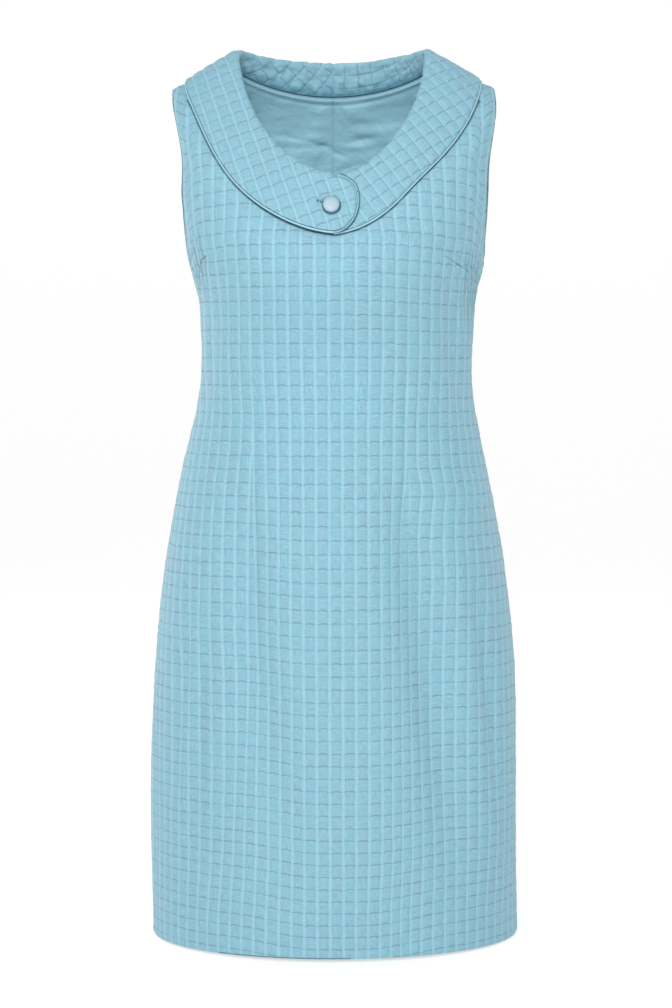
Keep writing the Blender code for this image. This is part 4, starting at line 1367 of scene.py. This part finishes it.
        laid = np.stack(
            [flat[row + 2, column] - flat[row - 2, column], flat[row, column + 2] - flat[row, column - 2]], axis=-1
        )
        grain = unit(laid @ np.linalg.solve(seen, np.array([-math.sin(lean), math.cos(lean)])))
        right = laid @ np.linalg.solve(seen, np.array([math.cos(lean), math.sin(lean)]))
        weft = np.array([grain[1], -grain[0]])
        weft = weft if weft @ right > 0 else -weft
        u, v = flat @ weft, flat @ grain
        return (u[:, ::-1], v[:, ::-1]) if flipped else (u, v)


@dataclass
class Fastening:
    """The covered button in front of the tab, its shank, and the buttonhole with its two lips."""

    cloth: bpy.types.Material
    satin: bpy.types.Material
    face: bpy.types.Material
    # edge: a dark satin as painted shade on the button's rim and in the buttonhole's slit.
    edge: bpy.types.Material
    radius: float = 0.0088
    rim: float = 0.0012
    dome: float = 0.0024
    clearance: float = 0.0005
    edge_from: float = 0.925
    shank_radius: float = 0.0013
    hole_length: float = 0.0190
    hole_width: float = 0.0037
    hole_past: float = 0.0022
    lip_width: float = 0.34
    lip_apart: float = 0.62
    lip_rise: float = 0.0012
    slit_rise: float = 0.0003
    near: float = 0.012
    flat_beyond: float = 0.006
    dip: float = 0.0009
    dip_width: float = 0.0012
    pleat_depth: float = 0.0010
    pleat_pitch: float = 0.0032
    pleats_at: float = -0.0135
    pleats_reach: tuple[float, float] = (0.0045, 0.0060)

    def frame(self, grid: Array, first_fall: int) -> tuple[Array, Array, Array, Array]:
        """The button's place on the tab's middle surface, and its sideways, upward and outward directions."""
        normals = grid_normals(grid)
        away = np.hypot(grid[..., 0] - BUTTON_X, grid[..., 2] - BUTTON_Z) + (grid[..., 1] > 0)
        away[:, :first_fall] += 1
        place = np.unravel_index(np.argmin(away), away.shape)
        near, out = grid[place], normals[place]
        y = near[1] - (out[0] * (BUTTON_X - near[0]) + out[2] * (BUTTON_Z - near[2])) / out[1]
        sideways = unit(np.array([1.0, 0, 0]) - out * out[0])
        return np.array([BUTTON_X, y, BUTTON_Z]), sideways, np.cross(out, sideways), out

    def slot_directions(self, sideways: Array, upward: Array) -> tuple[Array, Array]:
        """Directions along and across the buttonhole."""
        c, s = math.cos(BUTTONHOLE_TILT), math.sin(BUTTONHOLE_TILT)
        return c * sideways + s * upward, c * upward - s * sideways

    def relief(self, points: Array, place: tuple[Array, Array, Array, Array]) -> tuple[Array, Array]:
        """How the cloth lies round the fastening: flat under the button, drawn into fine pleats beside it.

        Args:
            points: The tab's points.
            place: The button's frame.

        Returns:
            The share of the weave's relief that stays, and an extra height.
        """
        spot, sideways, upward, out = place
        offset = points - spot
        x, y = offset @ sideways, offset @ upward
        near = np.abs(offset @ out) < self.near
        away = np.hypot(x, y)
        keep = smooth_step(away, self.radius, self.radius + self.flat_beyond)
        ring = self.dip * np.exp(-(((away - self.radius) / self.dip_width) ** 2))
        along, across = self.slot_directions(sideways, upward)
        s, t = offset @ along, offset @ across
        reach_s, reach_t = self.pleats_reach
        beside = np.exp(-(((s - self.pleats_at) / reach_s) ** 2)) * np.exp(-((t / reach_t) ** 2))
        pleats = self.pleat_depth * beside * np.cos(2 * math.pi * (s + 0.35 * t) / self.pleat_pitch)
        return np.where(near, keep, 1.0), np.where(near, pleats - ring, 0.0)

    def button(self, spot: Array, upward: Array, out: Array) -> bpy.types.Object:
        """The covered button: a flat back, a rounded rim and a domed face, turned about its axis.

        Args:
            spot: Its place on the tab's middle surface.
            upward: The direction up the tab there.
            out: The direction out of it.

        Returns:
            The button, whose face has its own material and whose edge takes a dark satin as painted shade.
        """
        turn = np.linspace(0, math.pi / 2, 22)
        wide = self.radius * np.sin(turn[1:]) ** 0.62
        high = self.rim + self.dome * np.cos(turn[1:]) ** 0.9
        back = np.array([[0.985, 0.45], [0.90, 0.12], [0.55, 0.0]])
        wide = np.concatenate([wide, back[:, 0] * self.radius])[::-1]
        high = np.concatenate([high, back[:, 1] * self.rim])[::-1]
        high = high + 1e-7 * np.arange(len(high))
        axis = spot + out * (COLLAR_WALL / 2 + self.clearance + high)[:, None]
        button = carried_profile("covered_button", axis, np.broadcast_to(upward, axis.shape), wide, wide, 64)
        button.data.materials.append(self.face)
        button.data.materials.append(self.edge)
        points = np.array([vertex.co for vertex in button.data.vertices])
        middle = np.array([points[list(polygon.vertices)].mean(axis=0) for polygon in button.data.polygons])
        reach = np.linalg.norm(np.cross(middle - spot, out), axis=-1)
        # The outer rim takes the dark satin as painted shade.
        painted_shade_rim = reach > self.edge_from * self.radius
        button.data.polygons.foreach_set("material_index", painted_shade_rim.astype(np.int32))
        return button

    def shank(self, spot: Array, upward: Array, out: Array) -> bpy.types.Object:
        """The thread shank under the button, drawn in at its middle.

        Args:
            spot: The button's place on the tab's middle surface.
            upward: The direction up the tab there.
            out: The direction out of it.

        Returns:
            The shank.
        """
        face = COLLAR_WALL / 2
        low, high = face - OVERLAP_LIFT + SEAM_GAP, face + self.clearance - SEAM_GAP
        stem = spot + out * np.linspace(low, high, 9)[:, None]
        waist = self.shank_radius * (1 - 0.15 * np.sin(np.linspace(0, math.pi, 9)))
        shank = carried_profile("thread_shank", stem, np.broadcast_to(upward, stem.shape), waist, waist, 16)
        shank.data.materials.append(self.satin)
        return shank

    def buttonhole(self, spot: Array, along: Array, across: Array, out: Array) -> list[bpy.types.Object]:
        """The buttonhole's slit, a dark bar as painted shade, and its upper and lower lip: bars with round ends
        along the hole.

        Args:
            spot: The button's place on the tab's middle surface.
            along: The direction along the hole.
            across: The direction across it.
            out: The direction out of the tab.

        Returns:
            The slit's painted shade bar, the upper lip and the lower lip.
        """
        lip = (self.hole_width - 3 * SEAM_GAP) / 2
        start = self.hole_past - self.hole_length + SEAM_GAP
        end = -self.shank_radius - SEAM_GAP
        run = (1 - np.cos(np.linspace(0, math.pi, 33))) / 2
        ease = np.clip(1 - (2 * run - 1) ** 8, 0.02, 1) ** 0.5
        line = spot + along * (start + (end - start) * run)[:, None]
        bars = {
            # The slit is a dark bar of painted shade between the lips.
            "buttonhole_slit_painted_shade": (0, self.slit_rise, 12, self.edge),
            "bound_lip_upper": (1, self.lip_rise, 16, self.cloth),
            "bound_lip_lower": (-1, self.lip_rise, 16, self.cloth),
        }
        made = []
        for name, (way, rise, sides, finish) in bars.items():
            middle = line + across * way * self.lip_apart * (lip + SEAM_GAP)
            upright = np.broadcast_to(out, middle.shape)
            half_width, half_height = self.lip_width * lip * ease, (COLLAR_WALL / 2 + rise) * ease
            bar = carried_profile(name, middle, upright, half_width, half_height, sides)
            bar.data.materials.append(finish)
            made.append(bar)
        return made

    def build(self, grid: Array, first_fall: int) -> list[bpy.types.Object]:
        """Builds the button, its shank and the two lips in place of their solids, and a dark bar as painted shade in
        the slit between the lips.

        Args:
            grid: The tab half's middle surface.
            first_fall: Its first column on the fall.

        Returns:
            The pieces.
        """
        spot, sideways, upward, out = self.frame(grid, first_fall)
        button, shank = self.button(spot, upward, out), self.shank(spot, upward, out)
        slit, upper, lower = self.buttonhole(spot, *self.slot_directions(sideways, upward), out)
        rows = (
            (slit, Slot.TRIM, None),
            (button, Slot.TRIM, "button"),
            (shank, Slot.TRIM, "button_shank"),
            (upper, Slot.CLOTH, "buttonhole_lip_upper"),
            (lower, Slot.CLOTH, "buttonhole_lip_lower"),
        )
        for piece, slot, node in rows:
            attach(piece, "root")
            if node:
                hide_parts(node)
        return [row[0] for row in rows]


@dataclass
class Collar:
    """The wide roll collar: two halves with a satin piping round the fall, the left one ending in the tab."""

    cloth: bpy.types.Material
    # under: a dark satin as painted shade on the collar's underside and rims.
    under: bpy.types.Material
    satin: bpy.types.Material
    fastening: Fastening
    turn_in: float = 0.0008
    turn_fade: float = 0.0026
    weave_fade: float = 0.004
    lean_spot: float = 0.72
    piping_sides: int = 12
    bulge: float = 0.0011
    shadow_ring_aside: float = 0.0004
    shadow_ring_below: float = 0.0006
    foot_shade: tuple[float, float] = (0.0030, 0.0130)
    foot_ragged: float = 0.003
    leans: dict[Half, float] = field(
        default_factory=lambda: {Half.LEFT: math.radians(20), Half.RIGHT: math.radians(37)}
    )

    def crumples(self, grid: Array, form: CollarForm) -> Array:
        """The stand's uneven bulges inside the back neck, from a soft noise, fading out at the roll and the front."""
        column = np.arange(grid.shape[1]) if form.half is Half.LEFT else np.arange(grid.shape[1])[::-1]
        on_stand = smooth_step(-column.astype(float), -form.first_fall + 4, -form.stand_steps + 4)
        wave = soft_noise(grid * np.array([1.0, 1.0, 1.5]), 0.013, 51) + 0.5 * soft_noise(grid, 0.007, 52)
        return self.bulge * wave * on_stand * (grid[..., 1] > 0) * edge_fade(grid, 0.006)

    def layers(self, grid: Array, form: CollarForm) -> dict[str, Array]:
        """The layers that the finish reads: a painted shadow line round the button or along the tab's end, and
        painted shade at the stand's foot.

        Args:
            grid: The half's points.
            form: The half's form.

        Returns:
            ON_LINE plus the distance from the painted shadow line, and the share of painted shade.
        """
        if form.half is Half.LEFT:
            spot, sideways, upward, out = self.fastening.frame(grid, form.first_fall)
            offset = grid - spot
            x, y = offset @ sideways - self.shadow_ring_aside, offset @ upward + self.shadow_ring_below
            near = np.abs(offset @ out) < self.fastening.near
            # A painted shadow ring round the button, set a little towards the lower right.
            line = np.where(near, np.hypot(x, y) - self.fastening.radius, FAR_OFF)
            stand = lengths_along(grid, axis=1)
        else:
            tab = CollarForm(Half.LEFT)
            end = tab.grid()[-1, tab.first_fall :][:, [0, 2]]
            share = np.linspace(0, len(end) - 1, 300)
            end = np.stack([np.interp(share, np.arange(len(end)), end[:, axis]) for axis in range(2)], axis=-1)
            flat = grid[..., [0, 2]]
            gap = np.linalg.norm(flat[:, :, None] - end, axis=-1).min(axis=-1)
            thin = COLLAR_THIN * (1 + smooth_step(flat[..., 1], *TAB_THIN_HEIGHTS))
            # A painted shadow line on the right half along the tab's end.
            line = np.where(grid[..., 1] < 0, gap - COLLAR_SHADOW_LINE, FAR_OFF) * thin
            stand = lengths_along(grid[:, ::-1], axis=1)[:, ::-1]
        # Painted shade at the stand's foot, made ragged by a noise.
        ragged = stand + self.foot_ragged * soft_noise(grid, 0.012, 61)
        return {"line": ON_LINE + line, "shade": smooth_step(-ragged, -self.foot_shade[1], -self.foot_shade[0])}

    def half(self, half: Half) -> list[bpy.types.Object]:
        """Builds one half and its piping in place of their solids.

        Args:
            half: Which half.

        Returns:
            The collar half and its piping.
        """
        form = CollarForm(half)
        word = half.name.lower()
        grid = form.grid()
        normal = grid_normals(grid)
        u, v = form.cloth_place(grid, self.leans[half], self.lean_spot)
        turned = 1 - edge_fade(grid, self.turn_fade)
        rise = COLLAR_WEAVE.height(u, v) * edge_fade(grid, self.weave_fade) - self.turn_in * turned
        rise = rise + self.crumples(grid, form)
        if half is Half.LEFT:
            keep, extra = self.fastening.relief(grid, self.fastening.frame(grid, form.first_fall))
            rise = rise * keep + extra
        wall = COLLAR_WALL / 2
        piece = cloth_mesh(
            f"roll_collar_{word}", grid + normal * (wall + rise)[..., None], grid - normal * wall, u, v
        )
        for layer, values in self.layers(grid, form).items():
            add_layer(piece, layer, values)
        piece.data.materials.append(self.cloth)
        piece.data.materials.append(self.under)
        # The inner face and rims take the under material, a dark satin as painted shade.
        shown = (grid.shape[0] - 1) * (grid.shape[1] - 1)
        hidden = np.arange(len(piece.data.polygons)) >= shown
        piece.data.polygons.foreach_set("material_index", hidden.astype(np.int32))
        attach(piece, "root")
        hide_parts(f"collar_{word}")
        if half is Half.RIGHT:
            border, upright = grid[:, 0], normal[:, 0]
        else:
            first = form.first_fall
            border = np.concatenate([grid[:, -1], grid[-1, first:-1][::-1]])
            upright = np.concatenate([normal[:, -1], normal[-1, first:-1][::-1]])
        outward = unit(np.cross(unit(np.gradient(border, axis=0)), upright))
        path = border - half.value * outward * (PIPING_RADIUS + SEAM_GAP)
        size = np.full(len(path), PIPING_RADIUS)
        piping = carried_profile(f"satin_piping_{word}", path, upright, size, size, self.piping_sides)
        piping.data.materials.append(self.satin)
        piping.data.materials.append(self.cloth)
        on_tab = np.arange(len(piping.data.polygons)) >= (len(grid) - 1) * self.piping_sides
        piping.data.polygons.foreach_set("material_index", on_tab.astype(np.int32))
        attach(piping, "root")
        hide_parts(f"piping_{word}")
        return [piece, piping]

    @staticmethod
    def front_edge() -> Array:
        """The lower outline of both halves in front: rising x, and the height there."""
        borders = []
        for half in Half:
            grid = CollarForm(half).grid()
            border = grid[:, -1] if half is Half.LEFT else grid[:, 0]
            borders.append(border[(border[:, 1] < 0) & (half.value * border[:, 0] > 0)])
        front = np.concatenate(borders)
        front = front[np.argsort(front[:, 0])]
        x = np.linspace(front[0, 0], front[-1, 0], 345)
        return np.array([x, np.interp(x, front[:, 0], front[:, 2])])

    def build(self) -> list[bpy.types.Object]:
        """Builds both halves, their piping and the fastening.

        Returns:
            The pieces.
        """
        form = CollarForm(Half.LEFT)
        made = [*self.half(Half.LEFT), *self.half(Half.RIGHT)]
        return made + self.fastening.build(form.grid(), form.first_fall)


class Studio:
    """The plain floor and backdrop, the soft lights and the camera at the photograph's angle."""

    eye: Vector = Vector((0.0016, -2.446, -0.3255))
    focal_pixels: float = 2255.0
    picture_height: float = 1008.0
    aim_below: float = 154 * 0.001085
    roll: float = math.radians(-0.15)
    # Area lights: place, what they aim at, size and power.
    lights: dict[str, tuple[tuple[float, ...], tuple[float, ...], float, float]] = {
        "key": ((-0.28, -3.3, 1.1), (0, 0, -0.4), 0.9, 77),
        "edge": ((-1.0, -2.5, 1.8), (0, 0, -0.4), 0.30, 11),
        "left rim": ((-2.2, 1.5, -0.2), (0, 0, -0.5), 1.2, 18),
        "right rim": ((2.2, 1.5, -0.2), (0, 0, -0.5), 1.2, 11),
    }
    world_strength: float = 0.60
    floor_z: float = -0.9625
    wall_y: float = 4.6
    bend_radius: float = 1.2
    front_y: float = -4.0
    wall_top: float = 4.0
    half_width: float = 5.0
    paper: tuple[float, float, float, float] = (0.45, 0.45, 0.45, 1)
    paper_glow: float = 0.60

    def camera(self) -> None:
        """Sets the scene's camera."""
        data = bpy.data.cameras.new("camera")
        data.sensor_fit = "VERTICAL"
        data.sensor_height = 36.0
        data.lens = self.focal_pixels * data.sensor_height / self.picture_height
        camera = bpy.data.objects.new("camera", data)
        bpy.context.scene.collection.objects.link(camera)
        aim = Vector((self.eye.x, 0.0, self.eye.z - self.aim_below))
        turn = (aim - self.eye).to_track_quat("-Z", "Y").to_matrix().to_4x4()
        camera.matrix_world = Matrix.Translation(self.eye) @ turn @ Matrix.Rotation(self.roll, 4, "Z")
        bpy.context.scene.camera = camera

    def light(self, name: str, place: Sequence[float], aim: Sequence[float], size: float, power: float) -> None:
        """An area light at a place, turned to its aim."""
        data = bpy.data.lights.new(name, "AREA")
        data.shape = "SQUARE"
        data.size = size
        data.energy = power
        lamp = bpy.data.objects.new(name, data)
        lamp.location = place
        lamp.rotation_euler = (Vector(aim) - Vector(place)).to_track_quat("-Z", "Y").to_euler()
        bpy.context.scene.collection.objects.link(lamp)

    def backdrop(self) -> None:
        """A floor that curves up into a wall behind: a profile swept sideways."""
        turn = np.linspace(0, math.pi / 2, 24)
        bend_y = self.wall_y - self.bend_radius + self.bend_radius * np.sin(turn)
        bend_z = self.floor_z + self.bend_radius - self.bend_radius * np.cos(turn)
        y = np.concatenate([[self.front_y], bend_y, [self.wall_y]])
        z = np.concatenate([[self.floor_z], bend_z, [self.wall_top]])
        x = np.array([-self.half_width, self.half_width])
        grid = np.stack([*np.broadcast_arrays(x[None, :], y[:, None], z[:, None])], axis=-1)
        index = np.arange(len(y) * 2).reshape(-1, 2)
        faces = np.stack([index[:-1, 0], index[:-1, 1], index[1:, 1], index[1:, 0]], axis=-1)
        mesh = bpy.data.meshes.new("backdrop")
        mesh.from_pydata(grid.reshape(-1, 3).tolist(), [], faces.tolist())
        mesh.shade_smooth()
        g = Graph("backdrop paper")
        g.shader.inputs["Base Color"].default_value = self.paper
        g.shader.inputs["Roughness"].default_value = 0.9
        g.shader.inputs["Emission Color"].default_value = (1, 1, 1, 1)
        g.shader.inputs["Emission Strength"].default_value = self.paper_glow
        mesh.materials.append(g.material)
        piece = bpy.data.objects.new("backdrop", mesh)
        bpy.context.scene.collection.objects.link(piece)

    def build(self) -> None:
        """Builds the set."""
        self.camera()
        self.backdrop()
        for name, setting in self.lights.items():
            self.light(name, *setting)
        world = bpy.data.worlds.new("studio")
        world.use_nodes = True
        world.node_tree.nodes["Background"].inputs[0].default_value = (1, 1, 1, 1)
        world.node_tree.nodes["Background"].inputs[1].default_value = self.world_strength
        bpy.context.scene.world = world
        bpy.context.scene.view_settings.view_transform = "Standard"


def main() -> None:
    """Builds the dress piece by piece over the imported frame, then the set, and notes the sizes."""
    logging.basicConfig(level=logging.INFO, format="%(name)s: %(message)s")
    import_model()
    blister = BlisterFinish().build()
    lining = SatinFinish(
        "lining satin", (0.288, 0.520, 0.608, 1), (0.232, 0.445, 0.535, 1), 0.50, 0.30, crumple=0.0042
    ).build()
    trim = SatinFinish("trim satin", (0.32, 0.53, 0.62, 1), (0.26, 0.46, 0.55, 1), 0.32, mapped=False).build()
    face = SatinFinish("button satin", (0.31, 0.43, 0.50, 1), (0.26, 0.40, 0.46, 1), 0.42, mapped=False).build()
    # A dark satin as painted shade: on the button's rim, in the buttonhole's slit and on the collar's underside and
    # rims.
    rim = SatinFinish("painted shade satin", (0.07, 0.17, 0.21, 1), (0.06, 0.14, 0.18, 1), 0.50, 0.3, mapped=False).build()
    # The collar's cloth has lighter painted shade in its grooves.
    collar_cloth = BlisterFinish("collar blister cloth", groove=(0.112, 0.275, 0.355, 1), weave=COLLAR_WEAVE).build()
    collar = Collar(collar_cloth, rim, trim, Fastening(collar_cloth, trim, face, rim))
    for builder in (Shell(blister, collar.front_edge()), Lining(lining), collar):
        for piece in builder.build():
            LOG.info("%s: %d faces", piece.name, len(piece.data.polygons))
    Studio().build()


if __name__ == "__main__":
    main()
